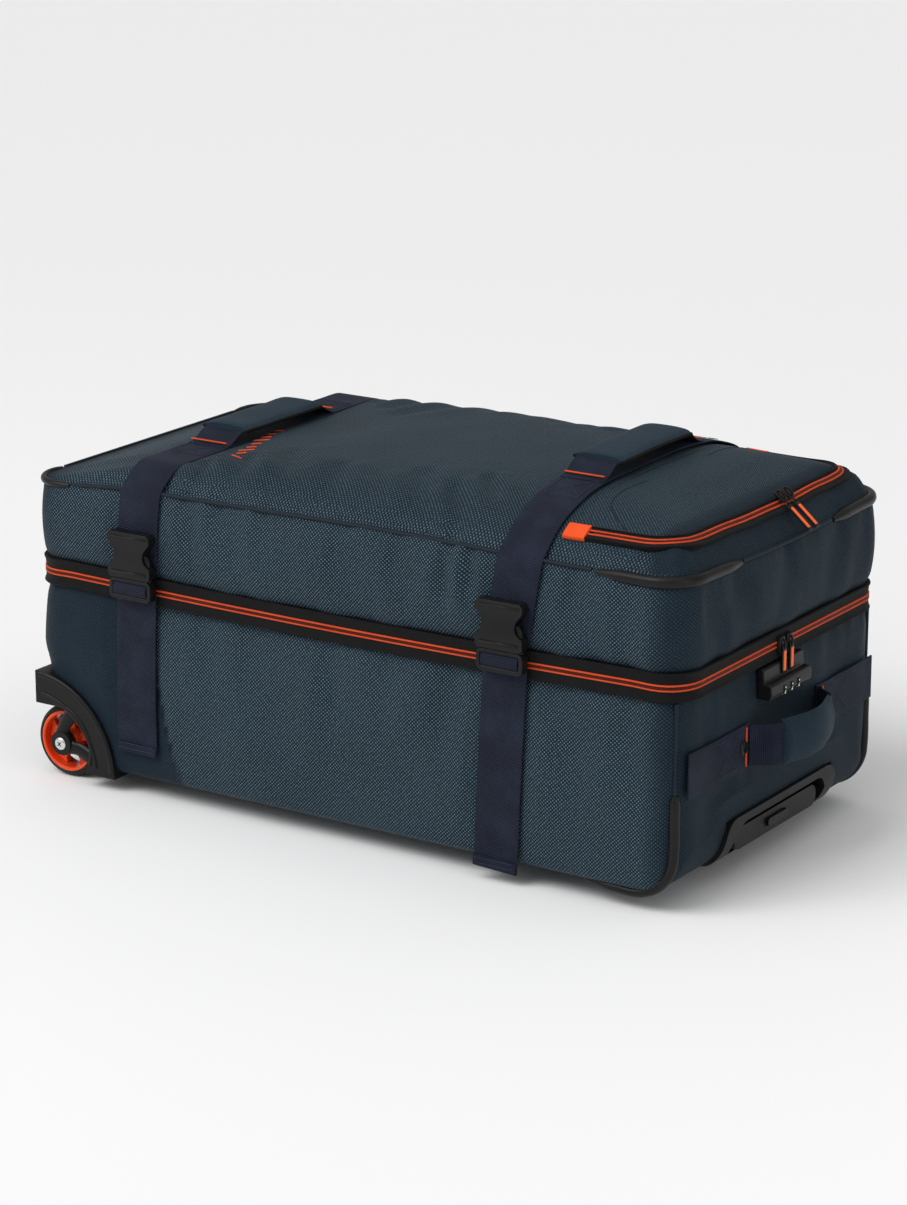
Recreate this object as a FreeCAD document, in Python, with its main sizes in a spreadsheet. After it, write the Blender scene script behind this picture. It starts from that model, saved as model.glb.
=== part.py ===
import FreeCAD, Part
import math
import os
import re
import Sketcher

# Rolling duffel bag lying on its back: two wheels at -X, trolley handle at +X, lid on top (+Z).
# The bag is drawn symmetric about X = 0; frame_shift then moves it so that the origin is
# under the middle of the whole object, wheels and end handle included. Z = 0 is the floor.

DOC = FreeCAD.newDocument("rolling_duffel_bag")
V = FreeCAD.Vector

SIZES = {
    # fabric body
    "body_length": 770, "body_width": 405, "corner_radius": 36, "edge_radius": 45, "wall": 4,
    "underside": 20, "zip_level": 227, "seam_level": 330, "crest_rise": 53, "frame_shift": -13.5,
    # main zip: two woven strips that stand proud of the body like a ledge
    "strip_height": 13.4, "strip_gap": 1.2, "strip_proud": 3, "strip_depth": 6,
    # top pocket
    "flap_start": 245, "flap_inset": 20, "flap_corner": 38, "tape_width": 6, "tab_length": 28,
    # edge trim
    "piping_height": 6, "piping_proud": 3, "bumper_height": 12, "bumper_proud": 6,
    "bumper_long": 95, "bumper_across": 112, "bumper_tail": 55, "edge_bead": 4.5, "bead_top": 125,
    # straps and buckles
    "strap_width": 50, "strap_thick": 1.8, "strap_stand": 3.3, "strap_wheel": 249, "strap_grip": 195,
    "strap_low_wheel": 51, "strap_low_grip": 14, "buckle_rim": 6, "buckle_thick": 13,
    "buckle_low": 241, "buckle_height": 48, "buckle_wall": 2.5, "prong_height": 22, "prong_width": 8,
    "tongue_height": 18, "ladder_height": 22, "fit_gap": 0.3, "sleeve_gap": 8, "sleeve_thick": 8,
    "sleeve_half": 72,
    "sleeve_width": 56,
    # wheels
    "wheel_radius": 39, "wheel_width": 24, "wheel_inset": 26, "wheel_recess": 12.5, "tyre_thick": 6,
    "housing_radius": 102, "housing_depth": 48, "housing_proud": 4, "housing_low": 15,
    "well_gap": 4, "well_reach": 60, "axle_radius": 4, "bearing_radius": 8, "axle_gap": 0.05, "bolt_head": 7,
    "arm_thick": 9, "arm_width": 17, "hub_web": 6, "hub_rim": 4,
    "hub_boss": 5, "hub_margin": 3,
    # trolley
    "tube_pitch": 160, "tube_level": 44, "tube_across": 28, "tube_tall": 18, "tube_wall": 1.2,
    "stage_step": 3, "stage_setback": 8, "bezel_width": 224, "bezel_height": 56,
    "bezel_depth": 48, "bezel_proud": 4, "bezel_round": 20, "recess_depth": 32,
    "recess_width": 182, "recess_height": 40, "grip_width": 168, "grip_height": 22,
    "grip_depth": 18, "grip_sink": 4, "button_width": 40, "button_height": 8, "button_proud": 3,
    "button_sink": 7, "rod_radius": 2.5, "bracket_thick": 16, "bracket_height": 28,
    # stiffeners and supports
    "board_thick": 2.5, "cover_height": 34, "cover_wall": 2, "rail_length": 130, "rail_width": 22,
    "rail_spread": 144, "rail_middle": 235, "board_end": 272,
    # lock and end handle
    "lock_middle": -12, "lock_length": 82, "lock_low": 180, "lock_shelf": 196, "lock_top": 211,
    "lock_back": 6, "lock_deep": 16, "dial_radius": 6, "dial_width": 5, "dial_pitch": 14,
    "dial_lift": 6.5, "release_length": 12, "release_height": 8, "release_depth": 6,
    "release_travel": 3,
    "band_height": 45, "band_level": 140, "band_thick": 1.8, "band_reach": 186, "loop_root": 72,
    "loop_reach": 40, "loop_thick": 9, "loop_height": 40, "loop_full": 17.6, "root_height": 5.6,
    "stud_radius": 6, "stud_thick": 3,
    # zip sliders and pulls
    "slider_pitch": 15, "slider_shift": 5, "slider_wide": 11, "slider_tall": 15, "plate_thick": 3,
    "pull_wide": 8,
    "main_pull": 30, "pull_long": 37, "pull_thick": 2.5, "pocket_slider_at": 32, "pocket_tilt": 40,
}

SHEET = DOC.addObject("Spreadsheet::Sheet", "Sizes")
for row, (alias, number) in enumerate(SIZES.items(), start=1):
    SHEET.set("A%d" % row, str(number))
    SHEET.setAlias("A%d" % row, alias)
DOC.recompute()

NODES = []


def size(alias):
    """The value of one cell of the sheet."""
    return float(SHEET.get(alias))


def bound(text):
    """An expression in which each size is read from the sheet."""
    return re.sub(r"[a-z_]+", lambda m: "Sizes." + m.group() if m.group() in SIZES else m.group(), text)


def place(obj, at, turn=None):
    """Binds an object's position to the sheet; the whole bag moves by frame_shift along X."""
    if turn is not None:
        obj.Placement = FreeCAD.Placement(V(0, 0, 0), turn)
    obj.setExpression("Placement.Base.x", bound("(%s) + frame_shift" % at[0]))
    obj.setExpression("Placement.Base.y", bound(at[1]))
    obj.setExpression("Placement.Base.z", bound(at[2]))
    return obj


def keep(obj):
    """Marks an object as a sub-part, which gets a file of its own."""
    NODES.append(obj)
    return obj


def box(name, dims, centre):
    """A box from its three sizes and its centre."""
    obj = DOC.addObject("Part::Box", name)
    for prop, text in zip(("Length", "Width", "Height"), dims):
        obj.setExpression(prop, bound(text))
    return place(obj, ["(%s) - (%s) / 2" % pair for pair in zip(centre, dims)])


def rod(name, radius, length, centre, angle=360):
    """A cylinder along Y about its centre; a sector starts at +X and opens towards +Z."""
    obj = DOC.addObject("Part::Cylinder", name)
    obj.setExpression("Radius", bound(radius))
    obj.setExpression("Height", bound(length))
    obj.Angle = angle
    at = (centre[0], "(%s) + (%s) / 2" % (centre[1], length), centre[2])
    return place(obj, at, FreeCAD.Rotation(V(1, 0, 0), 90))


def rod_x(name, radius, length, centre):
    """A cylinder along X about its centre."""
    obj = DOC.addObject("Part::Cylinder", name)
    obj.setExpression("Radius", bound(radius))
    obj.setExpression("Height", bound(length))
    at = ("(%s) - (%s) / 2" % (centre[0], length), centre[1], centre[2])
    return place(obj, at, FreeCAD.Rotation(V(0, 1, 0), 90))


def plane_of(body, role):
    """One of a body's own origin planes or axes."""
    return next(f for f in body.Origin.OriginFeatures if f.Role == role)


def rounded_sketch(body, plane, width, height, radius):
    """A rounded rectangle about the sketch's origin, held by constraints bound to the sheet."""
    sketch = body.newObject("Sketcher::SketchObject", body.Name + "_sketch")
    sketch.AttachmentSupport = [(plane_of(body, plane), "")]
    sketch.MapMode = "FlatFace"
    half_w, half_h, r = 40.0, 20.0, 5.0
    corners = [(1, -1), (1, 1), (-1, 1), (-1, -1)]
    runs = [((-half_w + r, -half_h), (half_w - r, -half_h)), ((half_w, -half_h + r), (half_w, half_h - r)),
            ((half_w - r, half_h), (-half_w + r, half_h)), ((-half_w, half_h - r), (-half_w, -half_h + r))]
    for start, end in runs:
        sketch.addGeometry(Part.LineSegment(V(*start, 0), V(*end, 0)), False)
    for turn, (sx, sy) in enumerate(corners):
        middle = V(sx * (half_w - r), sy * (half_h - r), 0)
        circle = Part.Circle(middle, V(0, 0, 1), r)
        start = math.radians(90 * turn - 90)
        sketch.addGeometry(Part.ArcOfCircle(circle, start, start + math.pi / 2), False)
    for side in range(4):
        sketch.addConstraint(Sketcher.Constraint("Tangent", side, 2, 4 + side, 1))
        sketch.addConstraint(Sketcher.Constraint("Tangent", 4 + side, 2, (side + 1) % 4, 1))
        sketch.addConstraint(Sketcher.Constraint("Vertical" if side % 2 else "Horizontal", side))
    for corner in (5, 6, 7):
        sketch.addConstraint(Sketcher.Constraint("Equal", 4, corner))
    sketch.addConstraint(Sketcher.Constraint("Symmetric", 4, 3, 6, 3, -1, 1))
    named = (("Radius", 4, r, radius), ("DistanceX", None, 2 * half_w, width),
             ("DistanceY", None, 2 * half_h, height))
    for kind, geometry, start, text in named:
        if kind == "Radius":
            index = sketch.addConstraint(Sketcher.Constraint(kind, geometry, start))
        elif kind == "DistanceX":
            index = sketch.addConstraint(Sketcher.Constraint(kind, 3, 1, 1, 1, start))
        else:
            index = sketch.addConstraint(Sketcher.Constraint(kind, 0, 1, 2, 1, start))
        sketch.setExpression("Constraints[%d]" % index, bound(text))
    return sketch


def pad(body, sketch, thick):
    """A pad on both sides of its sketch."""
    feature = body.newObject("PartDesign::Pad", body.Name + "_pad")
    feature.Profile = sketch
    feature.setExpression("Length", bound(thick))
    feature.SideType = "Symmetric"
    sketch.Visibility = False
    return feature


def slab(name, plane, width, height, radius, thick, centre, turn=None):
    """A plate with rounded corners, as a body about its own centre."""
    body = DOC.addObject("PartDesign::Body", name)
    pad(body, rounded_sketch(body, plane, width, height, radius), thick)
    return place(body, centre, turn)


def outline_sketch(body, plane, points):
    """A closed outline whose corners are each held at two expressions."""
    sketch = body.newObject("Sketcher::SketchObject", body.Name + "_sketch")
    sketch.AttachmentSupport = [(plane_of(body, plane), "")]
    sketch.MapMode = "FlatFace"
    count = len(points)
    start = [V(30 * math.cos(2 * math.pi * i / count), 30 * math.sin(2 * math.pi * i / count), 0)
             for i in range(count)]
    for i in range(count):
        sketch.addGeometry(Part.LineSegment(start[i], start[(i + 1) % count]), False)
    for i in range(count):
        sketch.addConstraint(Sketcher.Constraint("Coincident", i, 2, (i + 1) % count, 1))
    for i, (across, up) in enumerate(points):
        for kind, text, value in (("DistanceX", across, start[i].x), ("DistanceY", up, start[i].y)):
            index = sketch.addConstraint(Sketcher.Constraint(kind, -1, 1, i, 1, value))
            sketch.setExpression("Constraints[%d]" % index, bound(text))
    return sketch


def plate(name, plane, points, thick, centre):
    """A flat piece cut to an outline, as a body about its own origin."""
    body = DOC.addObject("PartDesign::Body", name)
    pad(body, outline_sketch(body, plane, points), thick)
    return place(body, centre)


def turned(name, points, centre):
    """A piece of revolution about Y, from its outline as (radius, distance along Y)."""
    body = DOC.addObject("PartDesign::Body", name)
    sketch = outline_sketch(body, "XY_Plane", points)
    feature = body.newObject("PartDesign::Revolution", name + "_turn")
    feature.Profile = sketch
    feature.ReferenceAxis = (plane_of(body, "Y_Axis"), [""])
    feature.Angle = 360
    sketch.Visibility = False
    return place(body, centre)


def fuse(name, shapes):
    obj = DOC.addObject("Part::MultiFuse", name)
    obj.Shapes = shapes
    return obj


def cut(name, base, tools):
    obj = DOC.addObject("Part::Cut", name)
    obj.Base = base
    obj.Tool = tools[0] if len(tools) == 1 else fuse(name + "_tools", tools)
    return obj


def common(name, shapes):
    obj = DOC.addObject("Part::MultiCommon", name)
    obj.Shapes = shapes
    return obj


def group(name, shapes):
    """Separate solids of one kind, kept in one node."""
    obj = DOC.addObject("Part::Compound", name)
    obj.Links = shapes
    return obj


def mirror(name, source):
    """The same piece on the rear side."""
    obj = DOC.addObject("Part::Mirroring", name)
    obj.Source = source
    obj.Normal = V(0, 1, 0)
    return obj


def both_sides(name, source):
    return group(name, [source, mirror(name + "_rear", source)])


def soft(name, shape):
    """A soft sub-part whose shape comes from the functions below."""
    obj = DOC.addObject("Part::Feature", name)
    obj.Shape = shape
    obj.Placement = FreeCAD.Placement(V(size("frame_shift"), 0, 0), FreeCAD.Rotation())
    return obj


# ---------------------------------------------------------------- soft body shapes

HALF_LENGTH = size("body_length") / 2
HALF_WIDTH = size("body_width") / 2
STRIP_TOP = size("zip_level") + size("strip_gap") / 2 + size("strip_height")
STRIP_BOTTOM = size("zip_level") - size("strip_gap") / 2 - size("strip_height")
CREST = size("seam_level") + size("crest_rise")

# (share of half the length or width, share of the crest's rise)
CREST_LINE = ((-1, 0), (-0.52, 0.51), (0, 0.87), (0.52, 1), (0.8, 0.88), (0.93, 0.55), (1, 0.12))
CROWN_LINE = ((-1, 0), (-0.88, 0.44), (-0.7, 0.76), (-0.4, 0.97), (0, 1),
              (0.4, 0.97), (0.7, 0.76), (0.88, 0.44), (1, 0))


def rounded_prism(x_low, x_high, half_y, radius, low, high):
    """A block with rounded upright edges."""
    block = Part.makeBox(x_high - x_low, 2 * half_y, high - low, V(x_low, -half_y, low))
    upright = [e for e in block.Edges if abs(e.Vertexes[0].Z - e.Vertexes[-1].Z) > 1]
    return block.makeFillet(radius, upright)


def plan_prism(inset, low, high):
    """The bag's plan outline, moved inwards by inset."""
    radius = size("corner_radius") - inset
    return rounded_prism(inset - HALF_LENGTH, HALF_LENGTH - inset, HALF_WIDTH - inset, radius, low, high)


def arched_prism(line, half_span, inset, low, along):
    """A block under an arched line, drawn across one axis and pushed through along the other."""
    far = 2 * size("body_length")

    def point(share, z):
        across = share * half_span
        return V(across, -far / 2, z) if along == "y" else V(-far / 2, across, z)

    arch = [point(share, size("seam_level") - inset + rise * size("crest_rise")) for share, rise in line]
    curve = Part.BSplineCurve()
    curve.interpolate(arch)
    feet = [point(-1, low), point(1, low)]
    sides = [Part.makeLine(feet[0], arch[0]), curve.toShape(), Part.makeLine(arch[-1], feet[1]),
             Part.makeLine(feet[1], feet[0])]
    push = V(0, far, 0) if along == "y" else V(far, 0, 0)
    return Part.Face(Part.Wire(sides)).extrude(push)


def lid_solid(inset, low):
    """The lid's whole volume above low, moved inwards by inset on every side."""
    body = plan_prism(inset, low, CREST - inset + 1)
    body = body.common(arched_prism(CREST_LINE, HALF_LENGTH - inset, inset, low - 1, "y"))
    return body.common(arched_prism(CROWN_LINE, HALF_WIDTH - inset, inset, low - 1, "x"))


def base_solid(inset):
    """The base's whole volume up to the zip, with its lower edge at the handle end rounded."""
    low = size("underside") + inset
    block = plan_prism(inset, low, STRIP_BOTTOM)
    radius = size("edge_radius") - inset
    middle = V(HALF_LENGTH - inset - radius, -HALF_WIDTH, low + radius)
    corner = Part.makeBox(radius, 2 * HALF_WIDTH, radius, middle - V(0, 0, radius))
    rounded = Part.makeCylinder(radius, 2 * HALF_WIDTH, middle, V(0, 1, 0))
    return block.cut(corner.cut(rounded))


def side_box(x_low, x_high, y_low, y_high, low, high):
    return Part.makeBox(x_high - x_low, y_high - y_low, high - low, V(x_low, y_low, low))


def shifted(obj):
    """A drawn tool's shape in the bag's own symmetric coordinates."""
    shape = obj.Shape.copy()
    shape.translate(V(-size("frame_shift"), 0, 0))
    return shape


# ---------------------------------------------------------------- wheels and their housings

WHEEL_X = "wheel_inset - body_length / 2"
WHEEL_FACE = "(body_width / 2 - wheel_recess)"
WHEEL_Y = "wheel_width / 2 - %s" % WHEEL_FACE
HOUSING_Y = "(housing_depth - body_width) / 2 - housing_proud"


def housing_sector(name, extra):
    centre = ("-body_length / 2", HOUSING_Y, "housing_low")
    return rod(name, "housing_radius + %s" % extra, "housing_depth + 2 * %s" % extra, centre, 90)


def wheel_housings():
    """A quarter-round guard at each wheel-end corner, open to the side, the end and the floor."""
    well_centre = (WHEEL_X, "%s - well_reach / 2 + 3" % WHEEL_Y, "wheel_radius")
    well = rod("well", "wheel_radius + well_gap", "wheel_width + well_reach", well_centre)
    notch_tall = "wheel_radius + well_gap"
    notch = box("notch", ("well_reach", "wheel_width + well_reach", notch_tall),
                ("%s - well_reach / 2" % WHEEL_X, well_centre[1], "wheel_radius + (%s) / 2" % notch_tall))
    floor_cut = box("floor_cut", ("well_reach", "wheel_width + well_reach", "wheel_radius"),
                    ("%s - well_reach / 2" % WHEEL_X, well_centre[1], "wheel_radius / 2"))
    axle_hole = rod("axle_hole", "axle_radius + axle_gap", "wheel_width + 2 * well_reach", well_centre)
    block = housing_sector("housing_block", "0")
    front = keep(cut("wheel_housing_front", block, [well, notch, floor_cut, axle_hole]))
    keep(mirror("wheel_housing_rear", front))


def fork_arms():
    """The outer arm that carries each axle: a boss with two legs up to the housing."""
    y_place = "-%s - arm_thick / 2 - 1" % WHEEL_FACE
    boss = rod("arm_boss", "arm_width / 2 + 3", "arm_thick", (WHEEL_X, y_place, "wheel_radius"))
    up = plate("arm_up", "XZ_Plane",
               [("-arm_width / 2", "0"), ("arm_width / 2", "0"),
                ("wheel_radius / 2 + arm_width / 2", "wheel_radius"),
                ("wheel_radius / 3", "wheel_radius + 6")],
               "arm_thick", (WHEEL_X, y_place, "wheel_radius"))
    down = plate("arm_down", "XZ_Plane",
                 [("0", "arm_width / 2"), ("0", "-arm_width / 2"),
                  ("wheel_radius + 6", "-arm_width / 2 - 4"), ("wheel_radius + 3", "arm_width / 2 - 4")],
                 "arm_thick", (WHEEL_X, y_place, "wheel_radius"))
    hole = rod("arm_hole", "axle_radius + axle_gap", "arm_thick + 2", (WHEEL_X, y_place, "wheel_radius"))
    housing = DOC.getObject("wheel_housing_front")
    arm = cut("fork_arm", fuse("arm_solid", [boss, up, down]), [hole, housing])
    keep(both_sides("fork_arms", arm))


def wheel_axles():
    """The bolt through arm, wheel and housing, with its round head outside."""
    head_face = "-%s - arm_thick - 1" % WHEEL_FACE
    length = "arm_thick + wheel_width + 6"
    shank = rod("axle_shank", "axle_radius", length,
                (WHEEL_X, "%s + (%s) / 2" % (head_face, length), "wheel_radius"))
    head = rod("axle_head", "bolt_head", "2.5", (WHEEL_X, "%s - 1.25" % head_face, "wheel_radius"))
    keep(both_sides("wheel_axles", fuse("axle", [shank, head])))


def wheels():
    """Tyre, spoked hub and two bearings on each axle."""
    half = "wheel_width / 2"
    rim = "wheel_radius - tyre_thick"
    centre = (WHEEL_X, WHEEL_Y, "wheel_radius")
    tyre = turned("tyre_front", [(rim, "-%s" % half), ("wheel_radius - 2", "-%s" % half),
                                 ("wheel_radius", "3 - %s" % half), ("wheel_radius", "%s - 3" % half),
                                 ("wheel_radius - 2", half), (rim, half)], centre)
    inner = "%s - hub_rim" % rim
    bore = "bearing_radius"
    hub_disc = turned("hub_disc", [(bore, "2 - %s" % half), ("bearing_radius + hub_boss", "2 - %s" % half),
                                   ("bearing_radius + hub_boss", "-hub_web / 2"), (inner, "-hub_web / 2"),
                                   (inner, "-%s" % half), (rim, "-%s" % half), (rim, half), (inner, half),
                                   (inner, "hub_web / 2"), ("bearing_radius + hub_boss", "hub_web / 2"),
                                   ("bearing_radius + hub_boss", "%s - 2" % half),
                                   (bore, "%s - 2" % half)], centre)
    windows = []
    for turn in range(5):
        angle = 72 * turn
        reach = "(%s + bearing_radius + hub_boss) / 2" % inner
        across = "(%s) * cos(%d deg)" % (reach, angle)
        up = "(%s) * sin(%d deg)" % (reach, angle)
        windows.append(rod("window_%d" % turn,
                           "(%s - bearing_radius - hub_boss - hub_margin) / 2" % inner, "wheel_width",
                           ("%s + %s" % (WHEEL_X, across), WHEEL_Y, "wheel_radius + %s" % up)))
    hub = cut("hub_front", hub_disc, windows)
    race = [("axle_radius + axle_gap", "2 - %s" % half), ("bearing_radius", "2 - %s" % half),
            ("bearing_radius", "7 - %s" % half), ("axle_radius + axle_gap", "7 - %s" % half)]
    outer_race = turned("bearing_outer_front", race, centre)
    inner_race = turned("bearing_inner_front", [(r, "-(%s)" % y) for r, y in race], centre)
    bearings = group("bearings_front", [outer_race, inner_race])
    for piece in (tyre, hub, bearings):
        keep(piece)
        keep(mirror(piece.Name.replace("front", "rear"), piece))


# ---------------------------------------------------------------- trolley

TUBE_END = "body_length / 2 + bezel_proud - bezel_depth"


def tube_pair(name, shrink, start, end):
    """Two rectangular tubes side by side."""
    across = "tube_across - %d * stage_step" % shrink
    tall = "tube_tall - %d * stage_step" % shrink
    length = "(%s) - (%s)" % (end, start)
    middle = "((%s) + (%s)) / 2" % (start, end)
    centre = (middle, "-tube_pitch / 2", "tube_level")
    outside = box(name + "_outside", (length, across, tall), centre)
    hollow = box(name + "_hollow",
                 ("%s + 2" % length, "%s - 2 * tube_wall" % across, "%s - 2 * tube_wall" % tall), centre)
    return both_sides(name, cut(name + "_tube", outside, [hollow]))


# the tubes start at the bracket, which ties the two wheel housings together
TUBE_START = "(body_length / 2 - housing_radius)"
GRIP_FACE = "body_length / 2 - grip_sink"
GRIP_BACK = "body_length / 2 - grip_sink - grip_depth"


def trolley():
    """Three nested stages, the grip and its release button with the push rods."""
    keep(tube_pair("trolley_outer_tubes", 0, "-" + TUBE_START, TUBE_END))
    keep(tube_pair("trolley_mid_tubes", 1, "stage_setback - " + TUBE_START, "%s + stage_setback" % TUBE_END))
    keep(tube_pair("trolley_inner_tubes", 2, "2 * stage_setback - " + TUBE_START, GRIP_BACK))
    grip_block = slab("grip_block", "YZ_Plane", "grip_width", "grip_height", "grip_height / 2 - 1",
                      "grip_depth", ("%s - grip_depth / 2" % GRIP_FACE, "0", "tube_level"))
    seat = box("button_seat",
               ("button_sink + 1", "button_width + 2 * fit_gap", "button_height + 2 * fit_gap"),
               ("%s + (1 - button_sink) / 2" % GRIP_FACE, "0", "tube_level"))
    keep(cut("trolley_grip", grip_block, [seat]))
    button = slab("button_cap", "YZ_Plane", "button_width", "button_height", "button_height / 2 - 1",
                  "button_proud + 1", ("%s + button_proud / 2 - 0.5" % GRIP_FACE, "0", "tube_level"))
    rod_length = "%s - fit_gap + %s - 3 * stage_setback" % (GRIP_BACK, TUBE_START)
    push_rod = rod_x("push_rod", "rod_radius", rod_length,
                     ("%s - fit_gap - (%s) / 2" % (GRIP_BACK, rod_length), "-tube_pitch / 2", "tube_level"))
    keep(group("grip_button", [button, push_rod, mirror("push_rod_rear", push_rod)]))


def bezel_outline(name, extra, depth):
    """The bezel's rounded outline, seen from the handle end."""
    return slab(name, "YZ_Plane", "bezel_width + 2 * %s" % extra, "bezel_height + 2 * %s" % extra,
                "bezel_round + %s" % extra, depth,
                ("body_length / 2 + bezel_proud - (%s) / 2" % depth, "0", "tube_level"))


def handle_bezel():
    """The cup in the end face that the grip sinks into; it follows the rounded lower edge."""
    bezel_block = bezel_outline("bezel_block", "0", "bezel_depth")
    edge = base_solid(-size("bezel_proud"))
    envelope = DOC.addObject("Part::Feature", "bezel_envelope")
    envelope.Shape = edge
    envelope.Placement = FreeCAD.Placement(V(size("frame_shift"), 0, 0), FreeCAD.Rotation())
    recess = slab("bezel_recess", "YZ_Plane", "recess_width", "recess_height", "recess_height / 2 - 1",
                  "recess_depth + 10",
                  ("body_length / 2 + bezel_proud - recess_depth / 2 + 5", "0", "tube_level"))
    hole = box("tube_hole", ("bezel_depth + 4", "tube_across - stage_step + 2 * fit_gap",
                             "tube_tall - stage_step + 2 * fit_gap"),
               ("body_length / 2 + bezel_proud - bezel_depth / 2", "-tube_pitch / 2", "tube_level"))
    keep(cut("handle_bezel", common("bezel_shell", [bezel_block, envelope]),
             [recess, hole, mirror("tube_hole_rear", hole)]))


def trolley_bracket():
    """The cross member that ties the tubes to both wheel housings."""
    width = "body_width + 2 * housing_proud - 2 * housing_depth - 2 * fit_gap"
    keep(slab("trolley_bracket", "YZ_Plane", width, "bracket_height", "4", "bracket_thick",
              ("-%s - bracket_thick / 2" % TUBE_START, "0", "tube_level")))


# ---------------------------------------------------------------- base

def base_shell():
    """The lower half of the bag: fabric over foam, cut out for the housings and the bezel."""
    shell = base_solid(0).cut(base_solid(size("wall")).fuse(plan_prism(size("wall"), STRIP_BOTTOM - 1,
                                                                       STRIP_BOTTOM + 1)))
    sector = housing_sector("housing_clearance", "fit_gap")
    bezel = bezel_outline("bezel_clearance", "fit_gap", "bezel_depth + 2")
    DOC.recompute()
    housing = shifted(sector)
    tools = [housing, housing.mirror(V(0, 0, 0), V(0, 1, 0)), shifted(bezel)]
    keep(soft("base_shell", shell.cut(tools)))


def stiffeners():
    """The board in the floor, the cover over the tubes and the two rails the bag lies on."""
    floor = "underside + wall"
    length = "board_end + body_length / 2 - bezel_depth - 6"
    middle = "(body_length / 2 - bezel_depth - 6 - board_end) / 2"
    keep(slab("bottom_board", "XY_Plane", length, "body_width - 2 * wall - 20", "20", "board_thick",
              (middle, "0", "%s + board_thick / 2" % floor)))
    low = "(%s + board_thick)" % floor
    outside = box("cover_outside", (length, "bezel_width", "cover_height"),
                  (middle, "0", "%s + cover_height / 2" % low))
    inside = box("cover_inside", ("%s + 2" % length, "bezel_width - 2 * cover_wall", "cover_height"),
                 (middle, "0", "%s + cover_height / 2 - cover_wall" % low))
    keep(cut("trolley_cover", outside, [inside]))
    rail = slab("skid_rail", "XY_Plane", "rail_length", "rail_width", "rail_width / 2 - 1", "underside",
                ("rail_middle", "-rail_spread / 2", "underside / 2"))
    keep(both_sides("skid_rails", rail))


def edge_trim():
    """Rubber beads round the two lower corners at the handle end, with piping above them."""
    bead = size("edge_bead")
    inset = size("corner_radius") * (1 - math.sqrt(0.5))
    y = -(HALF_WIDTH - inset) - bead / 2
    x = HALF_LENGTH - inset + bead / 2
    low = size("underside") - bead / 2
    radius = size("edge_radius")
    top = V(x, y, size("bead_top"))
    bend_start = V(x, y, low + radius)
    bend_end = V(x - radius, y, low)
    bend_middle = V(x - radius * (1 - math.sqrt(0.5)), y, low + radius * (1 - math.sqrt(0.5)))
    tail = V(x - size("bumper_long"), y, low)
    path = Part.Wire([Part.makeLine(top, bend_start),
                      Part.Arc(bend_start, bend_middle, bend_end).toShape(),
                      Part.makeLine(bend_end, tail)])
    ring = Part.Wire(Part.makeCircle(bead, top, V(0, 0, -1)))
    tube = path.makePipeShell([ring], True, True)
    cord = Part.makeCylinder(bead / 2, STRIP_BOTTOM - size("fit_gap") - size("bead_top"), top)
    pieces = [piece.cut(base_solid(0)) for piece in (tube, cord)]
    rear = [piece.mirror(V(0, 0, 0), V(0, 1, 0)) for piece in pieces]
    keep(soft("base_edge_trim", Part.makeCompound(pieces + rear)))


# ---------------------------------------------------------------- lid, flap and their zips

def pocket_prism(extra, low):
    """The pocket's plan outline, grown by extra, from low up; its wheel-end side is the fold line."""
    inset = size("flap_inset") - extra
    return rounded_prism(size("flap_start") - 2 * size("flap_corner"), HALF_LENGTH - inset + 4,
                         HALF_WIDTH - inset, size("flap_corner") + extra, low, CREST + 20)


def beyond_fold(shape, distance):
    """The part of a shape on the handle side of the fold line."""
    start = size("flap_start") + distance
    return shape.common(side_box(start, HALF_LENGTH + 20, -HALF_WIDTH, HALF_WIDTH, 0, CREST + 30))


def lid_shell():
    """The upper half of the bag: a domed shell with the pocket's opening in its top."""
    skin = lid_solid(0, STRIP_TOP).cut(lid_solid(size("wall"), STRIP_TOP - 1))
    opening = beyond_fold(pocket_prism(0, size("seam_level") - 10), 0)
    keep(soft("lid_shell", skin.cut(opening)))


def pocket_zip():
    """The two tapes of the pocket's zip, and the panel that they let open."""
    gap = size("strip_gap")
    tape = size("tape_width")
    skin = lid_solid(-0.8, STRIP_TOP).cut(lid_solid(size("wall"), STRIP_TOP - 1))
    low = size("seam_level") - 10
    clear = size("fit_gap")
    outer = pocket_prism(-clear, low).cut(pocket_prism(-tape, low - 1))
    inner = pocket_prism(-tape - gap, low).cut(pocket_prism(-2 * tape - gap, low - 1))
    tab = size("tab_length")
    keep(soft("pocket_zip_outer", beyond_fold(skin.common(outer), tab + clear)))
    keep(soft("pocket_zip_inner", beyond_fold(skin.common(inner), tab + clear)))
    near_fold = side_box(size("flap_start") + clear, size("flap_start") + tab, -HALF_WIDTH, HALF_WIDTH,
                         0, CREST + 30)
    keep(soft("pocket_zip_tabs", skin.common(outer).common(near_fold)))
    plain = lid_solid(0, STRIP_TOP).cut(lid_solid(size("wall"), STRIP_TOP - 1))
    panel = beyond_fold(plain.common(pocket_prism(-2 * tape - gap - clear, low)), 2 * clear)
    keep(soft("flap_panel", panel))


def band_ring(inset_out, inset_in, low, high):
    return plan_prism(inset_out, low, high).cut(plan_prism(inset_in, low - 1, high + 1))


def main_zip():
    """The two strips of the main zip; between them is the gap that the sliders' posts run in."""
    proud = -size("strip_proud")
    depth = size("strip_depth")
    half_gap = size("strip_gap") / 2
    level = size("zip_level")
    keep(soft("main_zip_lower", band_ring(proud, proud + depth, STRIP_BOTTOM, level - half_gap)))
    keep(soft("main_zip_upper", band_ring(proud, proud + depth, level + half_gap, STRIP_TOP)))


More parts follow.
